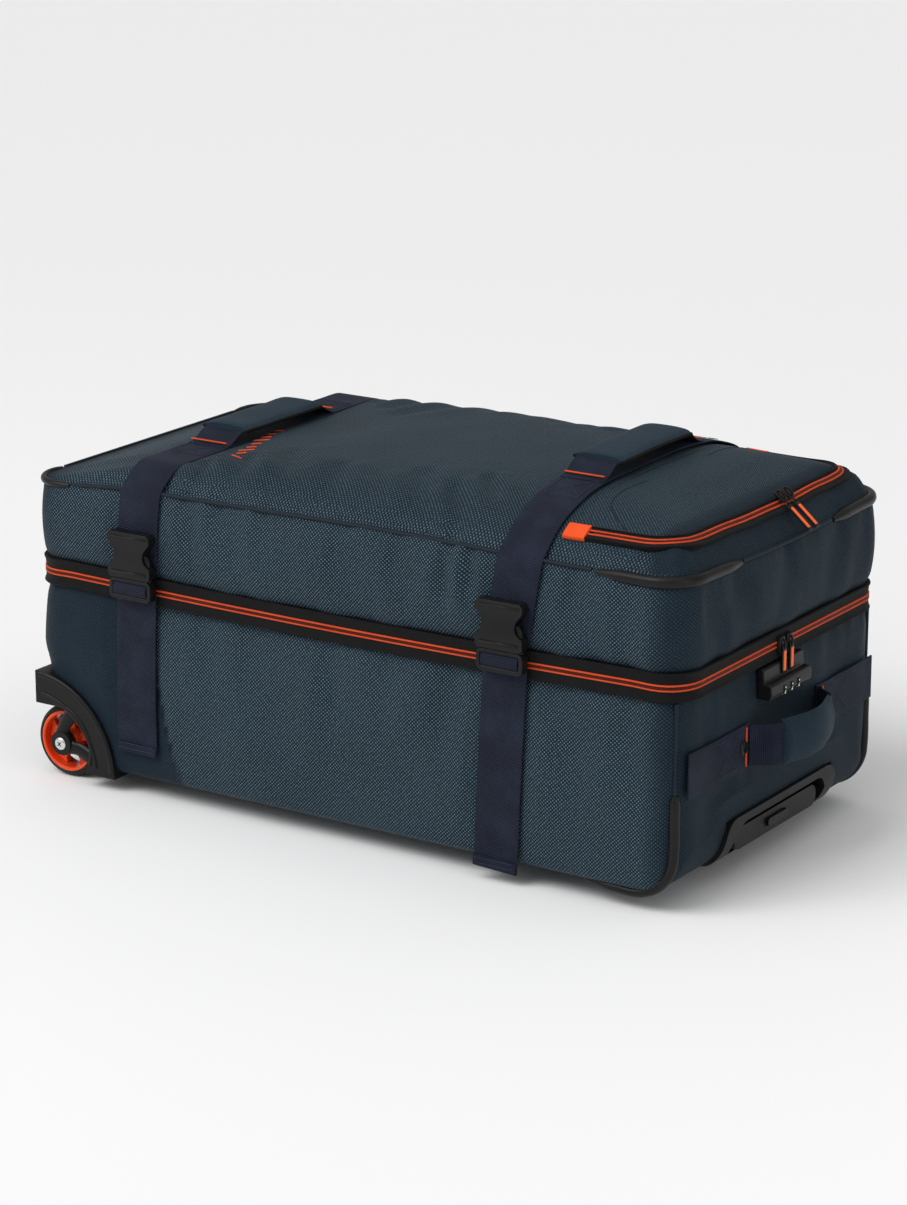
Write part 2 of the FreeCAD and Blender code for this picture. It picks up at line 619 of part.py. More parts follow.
def lid_hinge():
    """The strip of fabric that joins lid and base at the wheel end."""
    width = "body_width - 2 * corner_radius - 10"
    keep(box("lid_hinge_gusset", ("1", width, "strip_height + 20"),
             ("-body_length / 2 - strip_proud - 0.5 - fit_gap", "0",
              "zip_level - strip_gap / 2 - (strip_height + 20) / 2")))


def lid_divider():
    """The mesh panel that closes the upper compartment from below."""
    inset = "(2 * wall + 4)"
    keep(slab("lid_divider", "XY_Plane", "body_length - %s" % inset, "body_width - %s" % inset,
              "corner_radius - wall - 2", "1.5", ("0", "0", "zip_level + strip_gap / 2 + strip_height + 6")))


def corner_boxes(grow):
    """The spans of the top seam that carry rubber bumpers instead of piping."""
    seam = size("seam_level")
    high = size("bumper_height")
    spans = []
    for side in (-1, 1):
        far = side * (HALF_WIDTH + 20)
        grip_end = (HALF_LENGTH + 20, HALF_LENGTH - size("bumper_long"), size("bumper_across"))
        wheel_end = (-HALF_LENGTH - 20, size("bumper_tail") - HALF_LENGTH, size("bumper_tail"))
        for x_end, x_reach, across in (grip_end, wheel_end):
            near = side * (HALF_WIDTH - across - grow)
            reach = x_reach - grow if x_end > 0 else x_reach + grow
            spans.append(side_box(min(x_end, reach), max(x_end, reach), min(near, far), max(near, far),
                                  seam - high, seam + high))
    return spans


def lid_trim():
    """Piping round the top seam and rubber bumpers on its four corners."""
    seam = size("seam_level")
    piping = band_ring(-size("piping_proud"), 0, seam - size("piping_height") / 2,
                       seam + size("piping_height") / 2)
    keep(soft("lid_piping", piping.cut(corner_boxes(size("fit_gap")))))
    bumper = band_ring(-size("bumper_proud"), 0, seam - size("bumper_height") / 2,
                       seam + size("bumper_height") / 2)
    keep(soft("lid_bumpers", Part.makeCompound([bumper.common(span) for span in corner_boxes(0)])))


# ---------------------------------------------------------------- straps, buckles, carry handles

def lid_layer(near, far, x_middle, width, y_reach, low):
    """A layer over the lid between two offsets, as wide as a strap."""
    layer = lid_solid(-far, low).cut(lid_solid(-near, low - 1))
    half = width / 2
    return layer.common(side_box(x_middle - half, x_middle + half, -y_reach, y_reach, low, CREST + 60))


def upper_straps():
    """The webbing that runs over the lid from buckle to buckle, and the padded sleeve above it."""
    near = size("strap_stand")
    far = near + size("strap_thick")
    low = size("buckle_low") + size("buckle_height") - 10
    sleeve_near = far + size("sleeve_gap")
    for name, middle in (("wheel_end", -size("strap_wheel")), ("grip_end", size("strap_grip"))):
        strap = lid_layer(near, far, middle, size("strap_width"), HALF_WIDTH + 20, low)
        keep(soft("upper_strap_" + name, strap))
        sleeve = lid_layer(sleeve_near, sleeve_near + size("sleeve_thick"), middle, size("sleeve_width"),
                           size("sleeve_half"), size("seam_level"))
        keep(soft("carry_sleeve_" + name, sleeve))


STRAP_OUT = "body_width / 2 + strap_stand + strap_thick"
BUCKLE_Y = "-(%s) - fit_gap - buckle_thick / 2" % STRAP_OUT
BUCKLE_WIDTH = "(strap_width + buckle_rim)"
STRAP_MIDDLES = (("wheel_end", "-strap_wheel", "strap_low_wheel"),
                 ("grip_end", "strap_grip", "strap_low_grip"))


def lower_straps():
    """The webbing from each stitched end on the base up to the ladder of its buckle."""
    straps = []
    for name, middle, low in STRAP_MIDDLES:
        tall = "buckle_low - ladder_height - (%s)" % low
        straps.append(box("lower_strap_" + name, ("strap_width", "strap_thick", tall),
                          (middle, "-(%s) + strap_thick / 2" % STRAP_OUT, "(%s) + (%s) / 2" % (low, tall))))
    straps += [mirror(strap.Name + "_rear", strap) for strap in list(straps)]
    keep(group("lower_straps", straps))


def buckle_female(name, middle):
    """The socket half: a flat housing, hollow and open below, with side windows for the prongs."""
    housing = slab(name + "_block", "XZ_Plane", BUCKLE_WIDTH, "buckle_height", "5", "buckle_thick",
                   (middle, BUCKLE_Y, "buckle_low + buckle_height / 2"))
    cavity = box(name + "_cavity", (BUCKLE_WIDTH + " - 2 * buckle_wall", "buckle_thick - 2 * buckle_wall",
                                    "prong_height + 6"),
                 (middle, BUCKLE_Y, "buckle_low + (prong_height + 6) / 2 - 1"))
    window = box(name + "_window", (BUCKLE_WIDTH + " + 2", "buckle_thick - 2 * buckle_wall - 2", "12"),
                 (middle, BUCKLE_Y, "buckle_low + prong_height / 2 + 4"))
    slot = box(name + "_slot", ("strap_width + 1", "buckle_thick + 2", "6"),
               (middle, BUCKLE_Y, "buckle_low + buckle_height - 8"))
    return cut(name, housing, [cavity, window, slot])


def buckle_male(name, middle):
    """The plug half: a ladder for the webbing with two prongs and a guide tongue."""
    top = "buckle_low - 1"
    ladder = slab(name + "_ladder", "XZ_Plane", BUCKLE_WIDTH + " - 2", "ladder_height", "4",
                  "buckle_thick - 3", (middle, BUCKLE_Y, "%s - ladder_height / 2" % top))
    slots = [box(name + "_slot_%d" % k, ("strap_width - 2", "buckle_thick", "4"),
                 (middle, BUCKLE_Y, "%s - ladder_height * %d / 3" % (top, k + 1))) for k in range(2)]
    prongs = []
    inner_half = "(%s / 2 - buckle_wall - fit_gap)" % BUCKLE_WIDTH
    thick = "buckle_thick - 2 * buckle_wall - 2 * fit_gap"
    for side in (-1, 1):
        prongs.append(box("%s_prong_%d" % (name, side + 1), ("prong_width", thick, "prong_height"),
                          ("%s + %d * (%s - prong_width / 2)" % (middle, side, inner_half), BUCKLE_Y,
                           "%s + prong_height / 2" % top)))
    prongs.append(box(name + "_tongue", ("prong_width", thick, "tongue_height"),
                      (middle, BUCKLE_Y, "%s + tongue_height / 2" % top)))
    return cut(name, fuse(name + "_solid", [ladder] + prongs), slots)


def buckles():
    females = []
    for name, middle, _ in STRAP_MIDDLES:
        female = buckle_female("socket_" + name, middle)
        females += [female, mirror("socket_%s_rear" % name, female)]
        male = keep(buckle_male("buckle_plug_front_" + name, middle))
        keep(mirror("buckle_plug_rear_" + name, male))
    keep(group("buckle_sockets", females))


# ---------------------------------------------------------------- end handle and lock

FACE = "body_length / 2"


def end_handle():
    """A webbing band across the end face, its two studs, and the padded loop that swings out."""
    side = "(band_reach - loop_root)"
    band = box("band_side", ("band_thick", side, "band_height"),
               ("%s + fit_gap + band_thick / 2" % FACE, "-loop_root - %s / 2" % side, "band_level"))
    keep(both_sides("end_handle_webbing", band))
    stud = rod_x("stud", "stud_radius", "stud_thick",
                 ("%s + fit_gap + band_thick + stud_thick / 2" % FACE, "-loop_root - 2 * stud_radius",
                  "band_level"))
    keep(both_sides("end_handle_studs", stud))
    arch = [("fit_gap + band_thick", "-loop_root"), ("loop_reach", "-loop_root / 2 - 4"),
            ("loop_reach", "loop_root / 2 + 4"), ("fit_gap + band_thick", "loop_root"),
            ("fit_gap + band_thick", "loop_root - loop_thick - 4"),
            ("loop_reach - loop_thick", "loop_root / 2 - 4"),
            ("loop_reach - loop_thick", "4 - loop_root / 2"),
            ("fit_gap + band_thick", "loop_thick + 4 - loop_root")]
    bar = plate("loop_bar", "XY_Plane", arch, "loop_height", (FACE, "0", "band_level"))
    # seen from the side the loop narrows to its roots, so that it swings clear of the face
    root = "fit_gap + band_thick"
    wedge = [(root, "-root_height / 2"), ("loop_full", "-loop_height / 2"),
             ("loop_reach + 1", "-loop_height / 2"), ("loop_reach + 1", "loop_height / 2"),
             ("loop_full", "loop_height / 2"), (root, "root_height / 2")]
    side_view = plate("loop_side_view", "XZ_Plane", wedge, "2 * loop_root + 2", (FACE, "0", "band_level"))
    keep(common("end_handle_loop", [bar, side_view]))


def zip_lock():
    """The combination lock below the main zip: stepped housing, three dials and a release button."""
    back = "%s + fit_gap" % FACE
    tall = "lock_top - lock_low"
    low_tall = "lock_shelf - lock_low"
    rear = box("lock_rear", ("lock_back", "lock_length", tall),
               ("%s + lock_back / 2" % back, "lock_middle", "lock_low + (%s) / 2" % tall))
    front = box("lock_front", ("lock_deep", "lock_length", low_tall),
                ("%s + lock_deep / 2" % back, "lock_middle", "lock_low + (%s) / 2" % low_tall))
    dial_x = "%s + lock_deep - dial_radius + 0.8" % back
    dial_z = "lock_low + dial_lift"
    pockets = []
    for k in (-1, 0, 1):
        y = "lock_middle + %d * dial_pitch" % k
        pockets.append(rod("dial_pocket_%d" % (k + 2), "dial_radius + fit_gap", "dial_width + 2 * fit_gap",
                           (dial_x, y, dial_z)))
        keep(rod("lock_dial_%d" % (k + 2), "dial_radius", "dial_width", (dial_x, y, dial_z)))
    release_y = "lock_middle + lock_length / 2 - release_length / 2 + release_travel"
    release_x = "%s + lock_deep - release_depth / 2 - 2" % back
    middle_z = "(lock_low + lock_shelf) / 2"
    seat = box("release_seat", ("release_depth + 2 * fit_gap", "release_length + release_travel",
                                "release_height + 2 * fit_gap"),
               (release_x, "%s - release_travel / 2" % release_y, middle_z))
    keep(box("lock_release", ("release_depth", "release_length", "release_height"),
             (release_x, release_y, middle_z)))
    keep(cut("lock_housing", fuse("lock_solid", [rear, front]), pockets + [seat]))


# ---------------------------------------------------------------- zip sliders and pulls

def main_sliders():
    """Two sliders that meet above the lock; each has a front and a back plate round the strips."""
    outside = "%s + strip_proud" % FACE
    for name, side in (("a", -1), ("b", 1)):
        y = "lock_middle + slider_shift + %d * slider_pitch / 2" % side
        front = slab("main_front_" + name, "YZ_Plane", "slider_wide", "slider_tall", "3", "plate_thick",
                     ("%s + fit_gap + plate_thick / 2" % outside, y, "zip_level"))
        back = slab("main_back_" + name, "YZ_Plane", "slider_wide", "slider_tall", "3", "plate_thick",
                    ("%s - strip_depth - fit_gap - plate_thick / 2" % outside, y, "zip_level"))
        post_length = "strip_depth + 2 * fit_gap + 2"
        post = box("main_post_" + name, (post_length, "2", "strip_gap - 0.4"),
                   ("%s - strip_depth / 2" % outside, y, "zip_level"))
        keep(fuse("main_slider_" + name, [front, back, post]))
        pull_x = "%s + 2 * fit_gap + plate_thick + pull_thick / 2" % outside
        tab = slab("main_tab_" + name, "YZ_Plane", "pull_wide", "main_pull - 1", "3", "pull_thick",
                   (pull_x, y, "zip_level - (main_pull - 1) / 2"))
        barrel = rod("main_barrel_" + name, "pull_thick / 2", "pull_wide", (pull_x, y, "zip_level"))
        keep(fuse("main_pull_" + name, [tab, barrel]))


def pocket_sliders():
    """Two sliders on the pocket's zip where it crosses the handle end; the pulls lie over the edge."""
    tilt = FreeCAD.Rotation(V(0, 1, 0), size("pocket_tilt"))
    fall = math.radians(size("pocket_tilt"))
    top = V(HALF_LENGTH - size("flap_inset") + 4, 0, size("seam_level") + 0.52 * size("crest_rise"))
    along = V(math.cos(fall), 0, -math.sin(fall))
    for name, side in (("a", -1), ("b", 1)):
        y = size("pocket_slider_at") + side * size("slider_pitch") / 2
        start = top + V(0, y, 0)
        plate_at = start - along * (size("slider_tall") / 2)
        pull_at = start + along * (size("pull_long") / 2 + 1)
        for label, at, long_side, wide, thick in (
                ("pocket_slider_", plate_at, "slider_tall", "slider_wide", "plate_thick"),
                ("pocket_pull_", pull_at, "pull_long", "pull_wide", "pull_thick")):
            keep(slab(label + name, "XY_Plane", long_side, wide, "3", thick,
                      ("%.3f" % at.x, "%.3f" % at.y, "%.3f" % at.z), tilt))


def build():
    for make in (base_shell, lid_shell, pocket_zip, main_zip, lid_hinge, lid_divider, lid_trim, upper_straps,
                 lower_straps, buckles, wheel_housings, fork_arms, wheel_axles, wheels, trolley, handle_bezel,
                 trolley_bracket, stiffeners, edge_trim, end_handle, zip_lock, main_sliders, pocket_sliders):
        make()
    DOC.recompute()


def write():
    """Checks every object and every sub-part, then writes one file per sub-part."""
    for obj in DOC.Objects:
        if "Invalid" in obj.State or "Error" in obj.State:
            raise RuntimeError("%s did not compute: %s" % (obj.Name, obj.State))
    for node in NODES:
        if node.Shape.isNull() or not node.Shape.isValid() or not node.Shape.Solids:
            raise RuntimeError("%s has no valid shape" % node.Label)
    os.makedirs("parts", exist_ok=True)
    for node in NODES:
        node.Shape.exportStep("parts/%s.step" % node.Label)
    print(len(NODES), "sub-parts written")


build()
write()
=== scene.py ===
import math

import bmesh
import bpy
import numpy as np
from mathutils import Matrix, Vector


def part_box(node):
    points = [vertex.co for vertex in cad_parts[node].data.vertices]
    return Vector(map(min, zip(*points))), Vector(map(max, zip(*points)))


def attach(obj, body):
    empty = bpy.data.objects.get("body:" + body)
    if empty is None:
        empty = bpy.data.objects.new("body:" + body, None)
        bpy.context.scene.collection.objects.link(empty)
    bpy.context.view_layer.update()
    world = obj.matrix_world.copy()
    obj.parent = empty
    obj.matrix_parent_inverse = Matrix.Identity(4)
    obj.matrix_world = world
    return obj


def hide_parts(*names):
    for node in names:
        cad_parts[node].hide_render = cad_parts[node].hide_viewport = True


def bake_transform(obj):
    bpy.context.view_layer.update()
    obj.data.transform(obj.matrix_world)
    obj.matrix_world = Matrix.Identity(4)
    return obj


# A rolling duffel bag lying on its back. Every length is in metres, in the frame's own axes:
# wheels at -X, trolley handle at +X, front side at -Y, floor at Z = 0.
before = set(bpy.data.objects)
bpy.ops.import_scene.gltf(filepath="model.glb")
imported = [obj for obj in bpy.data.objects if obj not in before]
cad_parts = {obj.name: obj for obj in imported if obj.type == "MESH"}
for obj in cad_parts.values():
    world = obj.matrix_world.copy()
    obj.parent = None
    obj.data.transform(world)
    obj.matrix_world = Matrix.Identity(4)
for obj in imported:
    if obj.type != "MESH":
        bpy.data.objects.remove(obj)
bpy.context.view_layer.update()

# ---------------------------------------------------------------- places taken from the frame

base_low, base_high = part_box("base_shell")
lid_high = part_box("lid_shell")[1]
lower_low, lower_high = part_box("main_zip_lower")
upper_low, upper_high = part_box("main_zip_upper")
piping_low, piping_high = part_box("lid_piping")

MID = (base_low.x + base_high.x) / 2
HALF_L = (base_high.x - base_low.x) / 2
HALF_W = base_high.y
UNDER = base_low.z
ZIP = (lower_high.z + upper_low.z) / 2
ZIP_LOW = lower_low.z
ZIP_TOP = upper_high.z
SEAM = (piping_low.z + piping_high.z) / 2
RISE = lid_high.z - SEAM
# radius of the plan's corners, of the lower edge, and of the lower edge at the handle end
CORNER = 0.036
EDGE = 0.012
TOE = 0.045
CLOTH = 0.0038        # thickness of the padded cloth
STRAP_RISE = 0.0032   # middle of a strap above the lid
SLEEVE_RISE = 0.0165  # middle of a carry sleeve above the lid
STITCH = 0.0032       # from one stitch to the next
THREAD = 0.00035      # radius of the thread
WEB = 0.0018          # thickness of the webbing
SIDE_ROWS = 21        # rings of the lid below its top seam
SIDES = ((-1, "front"), (1, "rear"))
CROSSED_BOX = ((0, 1), (1, 2), (2, 3), (3, 0), (0, 2), (1, 3))
TOOTH = ((-1, -1), (1, -1), (1, 1), (-1, 1))
TOOTH_FACES = ((0, 1, 2, 3), (4, 7, 6, 5), (0, 4, 5, 1), (1, 5, 6, 2), (2, 6, 7, 3), (3, 7, 4, 0))
TOOTH_PITCH = 0.0024
STRAPS = {}
for end in ("wheel_end", "grip_end"):
    strap_low, strap_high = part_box("upper_strap_" + end)
    STRAPS[end] = (strap_low.x + strap_high.x) / 2
STRAP_HALF = (strap_high.x - strap_low.x) / 2
GUARD = (base_low.x, 0.015, 0.102)      # centre in X and Z, and radius
wheel_low, wheel_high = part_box("tyre_front")
AXLE = ((wheel_low.x + wheel_high.x) / 2, (wheel_low.z + wheel_high.z) / 2)
BEZEL_LOW, BEZEL_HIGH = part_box("handle_bezel")
POCKET_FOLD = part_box("flap_panel")[0].x
POCKET_INSET = 0.020
POCKET_CORNER = 0.038
POCKET_END = base_high.x - POCKET_INSET + 0.004

# (share of half the length or width, share of the dome's rise)
CREST_LINE = ((-1, 0), (-0.52, 0.51), (0, 0.87), (0.52, 1), (0.8, 0.88), (0.93, 0.55), (1, 0.12))
CROWN_LINE = ((-1, 0), (-0.88, 0.44), (-0.7, 0.76), (-0.4, 0.97), (0, 1),
              (0.4, 0.97), (0.7, 0.76), (0.88, 0.44), (1, 0))


# ---------------------------------------------------------------- small maths

def step(low, high, value):
    """0 below low, 1 above high, smooth between; low may be the larger."""
    t = np.clip((np.asarray(value, float) - low) / (high - low), 0, 1)
    return t * t * (3 - 2 * t)


def hill(value, middle, width):
    """A soft bump of height 1 about middle."""
    return np.exp(-((np.asarray(value, float) - middle) / width) ** 2)


def through(points, at):
    """A smooth line through (position, height) pairs."""
    xs, ys = np.array(points, float).T
    slope = np.gradient(ys, xs)
    at = np.clip(at, xs[0], xs[-1])
    k = np.clip(np.searchsorted(xs, at, side="right") - 1, 0, len(xs) - 2)
    wide = xs[k + 1] - xs[k]
    f = (at - xs[k]) / wide
    return ((2 * f**3 - 3 * f**2 + 1) * ys[k] + (f**3 - 2 * f**2 + f) * wide * slope[k]
            + (3 * f**2 - 2 * f**3) * ys[k + 1] + (f**3 - f**2) * wide * slope[k + 1])


def noise(points, grain, seed=0):
    """Smooth noise between -1 and 1; grain is the size of its features."""
    q = np.asarray(points, float) / grain + 1000
    cell = np.floor(q).astype(np.int64)
    f = q - cell
    f = f * f * (3 - 2 * f)
    total = 0
    for dx in (0, 1):
        for dy in (0, 1):
            for dz in (0, 1):
                mixed = ((cell[..., 0] + dx) * 73856093 ^ (cell[..., 1] + dy) * 19349663
                         ^ (cell[..., 2] + dz) * 83492791 ^ (seed * 2654435761))
                mixed = (mixed ^ (mixed >> 13)) * 1274126177
                value = ((mixed ^ (mixed >> 16)) & 0xFFFF) / 32767.5 - 1
                weight = ((f[..., 0] if dx else 1 - f[..., 0]) * (f[..., 1] if dy else 1 - f[..., 1])
                          * (f[..., 2] if dz else 1 - f[..., 2]))
                total = total + weight * value
    return total


def unit(v):
    """The same directions, each of length 1."""
    v = np.asarray(v, float)
    return v / np.maximum(np.linalg.norm(v, axis=-1, keepdims=True), 1e-12)


def run_of(points):
    """Distance along a line of points, from its start to each of them."""
    return np.concatenate([[0], np.cumsum(np.linalg.norm(np.diff(points, axis=0), axis=1))])


def read_at(places, run, values):
    """Rows of values read between their own places along a line."""
    return np.stack([np.interp(places, run, column) for column in values.T], 1)


def path_of(points, spacing, smooth=True):
    """Evenly spaced points along a line through a few, smooth or straight from one to the next."""
    points = np.array(points, float)
    if smooth and len(points) > 2:
        run = run_of(points)
        fine = np.linspace(0, run[-1], 40 * len(points))
        points = np.stack([through(list(zip(run, points[:, k])), fine) for k in range(3)], 1)
    run = run_of(points)
    count = max(2, int(round(run[-1] / spacing)) + 1)
    return read_at(np.linspace(0, run[-1], count), run, points)


# ---------------------------------------------------------------- the bag's outer form

def outline(spacing=0.0045, arc_steps=9):
    """Samples of the plan outline from the middle of the wheel end, by the front, and round:
    each has its share of the straight-sided core and its outward normal. It is symmetric in Y."""
    n_end = int((HALF_W - CORNER) / spacing)
    n_side = int(2 * (HALF_L - CORNER) / spacing)
    core, normal = [], []

    def run(start, end, count, direction):
        for k in range(count):
            t = k / count
            core.append((start[0] + (end[0] - start[0]) * t, start[1] + (end[1] - start[1]) * t))
            normal.append(direction)

    def arc(corner, start):
        for k in range(arc_steps):
            angle = math.radians(start + 90 * k / arc_steps)
            core.append(corner)
            normal.append((math.cos(angle), math.sin(angle)))

    run((-1, 0), (-1, -1), n_end, (-1, 0))
    arc((-1, -1), 180)
    run((-1, -1), (1, -1), n_side, (0, -1))
    arc((1, -1), 270)
    run((1, -1), (1, 1), 2 * n_end, (1, 0))
    arc((1, 1), 0)
    run((1, 1), (-1, 1), n_side, (0, 1))
    arc((-1, 1), 90)
    run((-1, 1), (-1, 0), n_end, (-1, 0))
    return np.array(core, float), np.array(normal, float)


CORE, NORMAL = outline()


def ring(inset, core=CORE, normal=NORMAL):
    """The outline moved inwards by inset, as X and Y in the frame's axes."""
    inset = np.broadcast_to(np.asarray(inset, float), (len(core),))
    radius = np.maximum(CORNER - inset, 0.006)
    x = core[:, 0] * (HALF_L - inset - radius) + normal[:, 0] * radius
    y = core[:, 1] * (HALF_W - inset - radius) + normal[:, 1] * radius
    return np.stack([x + MID, y], 1)


def seam_lift(x, y):
    """How far the top seam wanders from its level."""
    front = hill(x, MID + 0.05, 0.17) * step(0.15, 0.19, abs(y))
    far = step(0.33, 0.37, x - MID) * np.cos(np.clip(y / 0.19, -1, 1) * math.pi / 2) ** 1.5
    wheel = step(-0.24, -0.35, x - MID)
    return 0.0035 * front - 0.0045 * far - 0.007 * wheel


def zip_lift(x):
    """How far the main zip wanders from its level along the two long sides."""
    along = (x - MID) / HALF_L
    long_side = step(0.97, 0.85, abs(along))
    return long_side * (0.002 - 0.0045 * np.cos(np.clip(along, -1, 1) * math.pi / 2))


def dome(x, y):
    """Height of the lid's top above the seam's level."""
    a = through(CREST_LINE, (x - MID) / HALF_L)
    b = through(CROWN_LINE, y / HALF_W)
    soft = 0.14
    near = np.maximum(soft - abs(a - b), 0) / soft
    return RISE * np.maximum(np.minimum(a, b) - near * near * soft / 4, 0)


# How far each strap drifts along the bag as it rises: (height, shift)
LEANS = {
    "wheel_end": ((0.05, -0.003), (0.24, 0.003), (0.32, 0.009), (0.36, 0.013)),
    "grip_end": ((0.014, -0.009), (0.24, 0.002), (0.33, 0.017), (0.38, 0.018)),
}


def lean(key, z):
    """Shift along X of a strap at each height."""
    levels, shifts = zip(*LEANS[key])
    return np.interp(z, levels, shifts)


def strap_press(x, y, z):
    """1 where a strap holds the fabric down, 0 well away from it."""
    press = 0
    for key, middle in STRAPS.items():
        gap = abs(x - middle - lean(key, z))
        press = np.maximum(press, step(STRAP_HALF + 0.022, STRAP_HALF - 0.004, gap))
    return press * step(0.5, 0.9, abs(y) / HALF_W)


# Creases: start, end, half width, depth (the sign is inwards). Heights count for less than places
# when the distance from a crease is measured, so that one can run on over the dome.
FLATTEN = 0.4
LID_CREASES = (
    ((0.118, -0.190, 0.340), (0.112, -0.206, 0.270), 0.009, 0.0060),
    ((0.140, -0.198, 0.330), (0.145, -0.206, 0.285), 0.007, 0.0050),
    ((0.078, -0.140, 0.368), (0.128, -0.190, 0.338), 0.009, 0.0065),
    ((0.030, -0.120, 0.374), (0.075, -0.188, 0.342), 0.014, 0.0045),
    ((0.100, -0.110, 0.376), (0.138, -0.150, 0.362), 0.008, 0.0045),
    ((-0.205, -0.196, 0.325), (-0.180, -0.205, 0.285), 0.009, 0.0055),
    ((-0.165, -0.196, 0.326), (-0.120, -0.206, 0.275), 0.012, 0.0055),
    ((-0.215, -0.150, 0.352), (-0.185, -0.190, 0.335), 0.010, 0.0060),
    ((-0.180, -0.120, 0.362), (-0.140, -0.185, 0.340), 0.012, 0.0055),
    ((-0.150, -0.090, 0.368), (-0.090, -0.170, 0.348), 0.016, 0.0045),
    ((-0.060, -0.130, 0.366), (-0.030, -0.190, 0.338), 0.012, 0.0035),
    ((0.248, -0.204, 0.305), (0.292, -0.206, 0.250), 0.014, 0.0060),
    ((0.330, -0.190, 0.300), (0.300, -0.204, 0.258), 0.014, 0.0050),
    ((0.373, -0.110, 0.318), (0.374, -0.060, 0.262), 0.013, 0.0026),
    ((0.373, 0.010, 0.316), (0.374, -0.030, 0.268), 0.013, 0.0026),
    ((0.373, 0.120, 0.318), (0.374, 0.070, 0.262), 0.015, 0.0026),
    ((0.373, -0.165, 0.300), (0.374, -0.120, 0.255), 0.012, 0.0035),
    ((-0.110, -0.206, 0.312), (-0.050, -0.206, 0.270), 0.016, 0.0045),
    ((-0.020, -0.206, 0.310), (0.020, -0.206, 0.262), 0.014, 0.0040),
    ((0.050, -0.206, 0.312), (0.080, -0.206, 0.262), 0.012, 0.0045),
)
BASE_CREASES = (
    ((0.225, -0.206, 0.205), (0.275, -0.206, 0.120), 0.018, 0.0055),
    ((0.310, -0.206, 0.195), (0.345, -0.204, 0.090), 0.018, 0.0050),
    ((0.125, -0.206, 0.205), (0.100, -0.206, 0.115), 0.016, 0.0050),
    ((0.050, -0.206, 0.205), (0.030, -0.206, 0.140), 0.014, 0.0035),
    ((-0.030, -0.206, 0.205), (-0.010, -0.206, 0.130), 0.014, 0.0040),
    ((-0.130, -0.206, 0.195), (-0.060, -0.206, 0.110), 0.024, 0.0045),
    ((-0.190, -0.206, 0.205), (-0.160, -0.206, 0.150), 0.012, 0.0040),
    ((0.374, 0.090, 0.205), (0.374, 0.150, 0.120), 0.015, 0.0030),
    ((0.374, -0.130, 0.200), (0.374, -0.160, 0.170), 0.012, 0.0030),
    ((0.374, -0.090, 0.110), (0.374, -0.160, 0.085), 0.014, 0.0030),
    ((0.374, 0.060, 0.108), (0.374, 0.130, 0.080), 0.014, 0.0030),
)


def crease_depth(points, creases):
    """Inward depth of soft folds at each point; each is mirrored to the rear, a little weaker."""
    depth = np.zeros(points.shape[:-1])
    for start, end, wide, deep in creases:
        for side, share in ((1, 1), (-1, 0.5)):
            a = np.array(start) * (1, side, FLATTEN)
            b = np.array(end) * (1, side, FLATTEN)
            from_start = points * (1, 1, FLATTEN) - a
            along = np.clip((from_start @ (b - a)) / ((b - a) @ (b - a)), -0.15, 1.15)
            gap = np.linalg.norm(from_start - along[..., None] * (b - a), axis=-1)
            fade = step(-0.15, 0.15, along) * step(1.15, 0.6, along)
            depth += share * deep * fade * (np.exp(-(gap / wide) ** 2)
                                            - 0.45 * np.exp(-((gap - 1.9 * wide) / wide) ** 2))
    return depth


def puckers(run, reach, gap):
    """Small gathers that run out from a seam: gap is the distance from it, run the place along it."""
    along = np.stack([run, np.zeros_like(run), np.zeros_like(run)], -1)
    wave = noise(along, 0.013, 3) + 0.6 * noise(along, 0.007, 5)
    return 0.0011 * wave * np.exp(-gap / reach)


def near_fittings(x, y, z):
    """0 at the wheel guards and the handle's cup, 1 well away from them."""
    from_guard = np.hypot(x - GUARD[0], z - GUARD[1]) - GUARD[2]
    sides = step(0.0, 0.035, from_guard)
    sides = np.maximum(sides, step(0.03, 0.0, abs(y) - 0.12) * (abs(y) < 0.15))
    across = np.maximum(abs(y) - BEZEL_HIGH.y, 0)
    above = np.maximum(z - BEZEL_HIGH.z, 0)
    cup = np.maximum(step(0.0, 0.03, np.hypot(across, above)), step(0.06, 0.1, BEZEL_HIGH.x - x))
    return np.minimum(sides, cup)


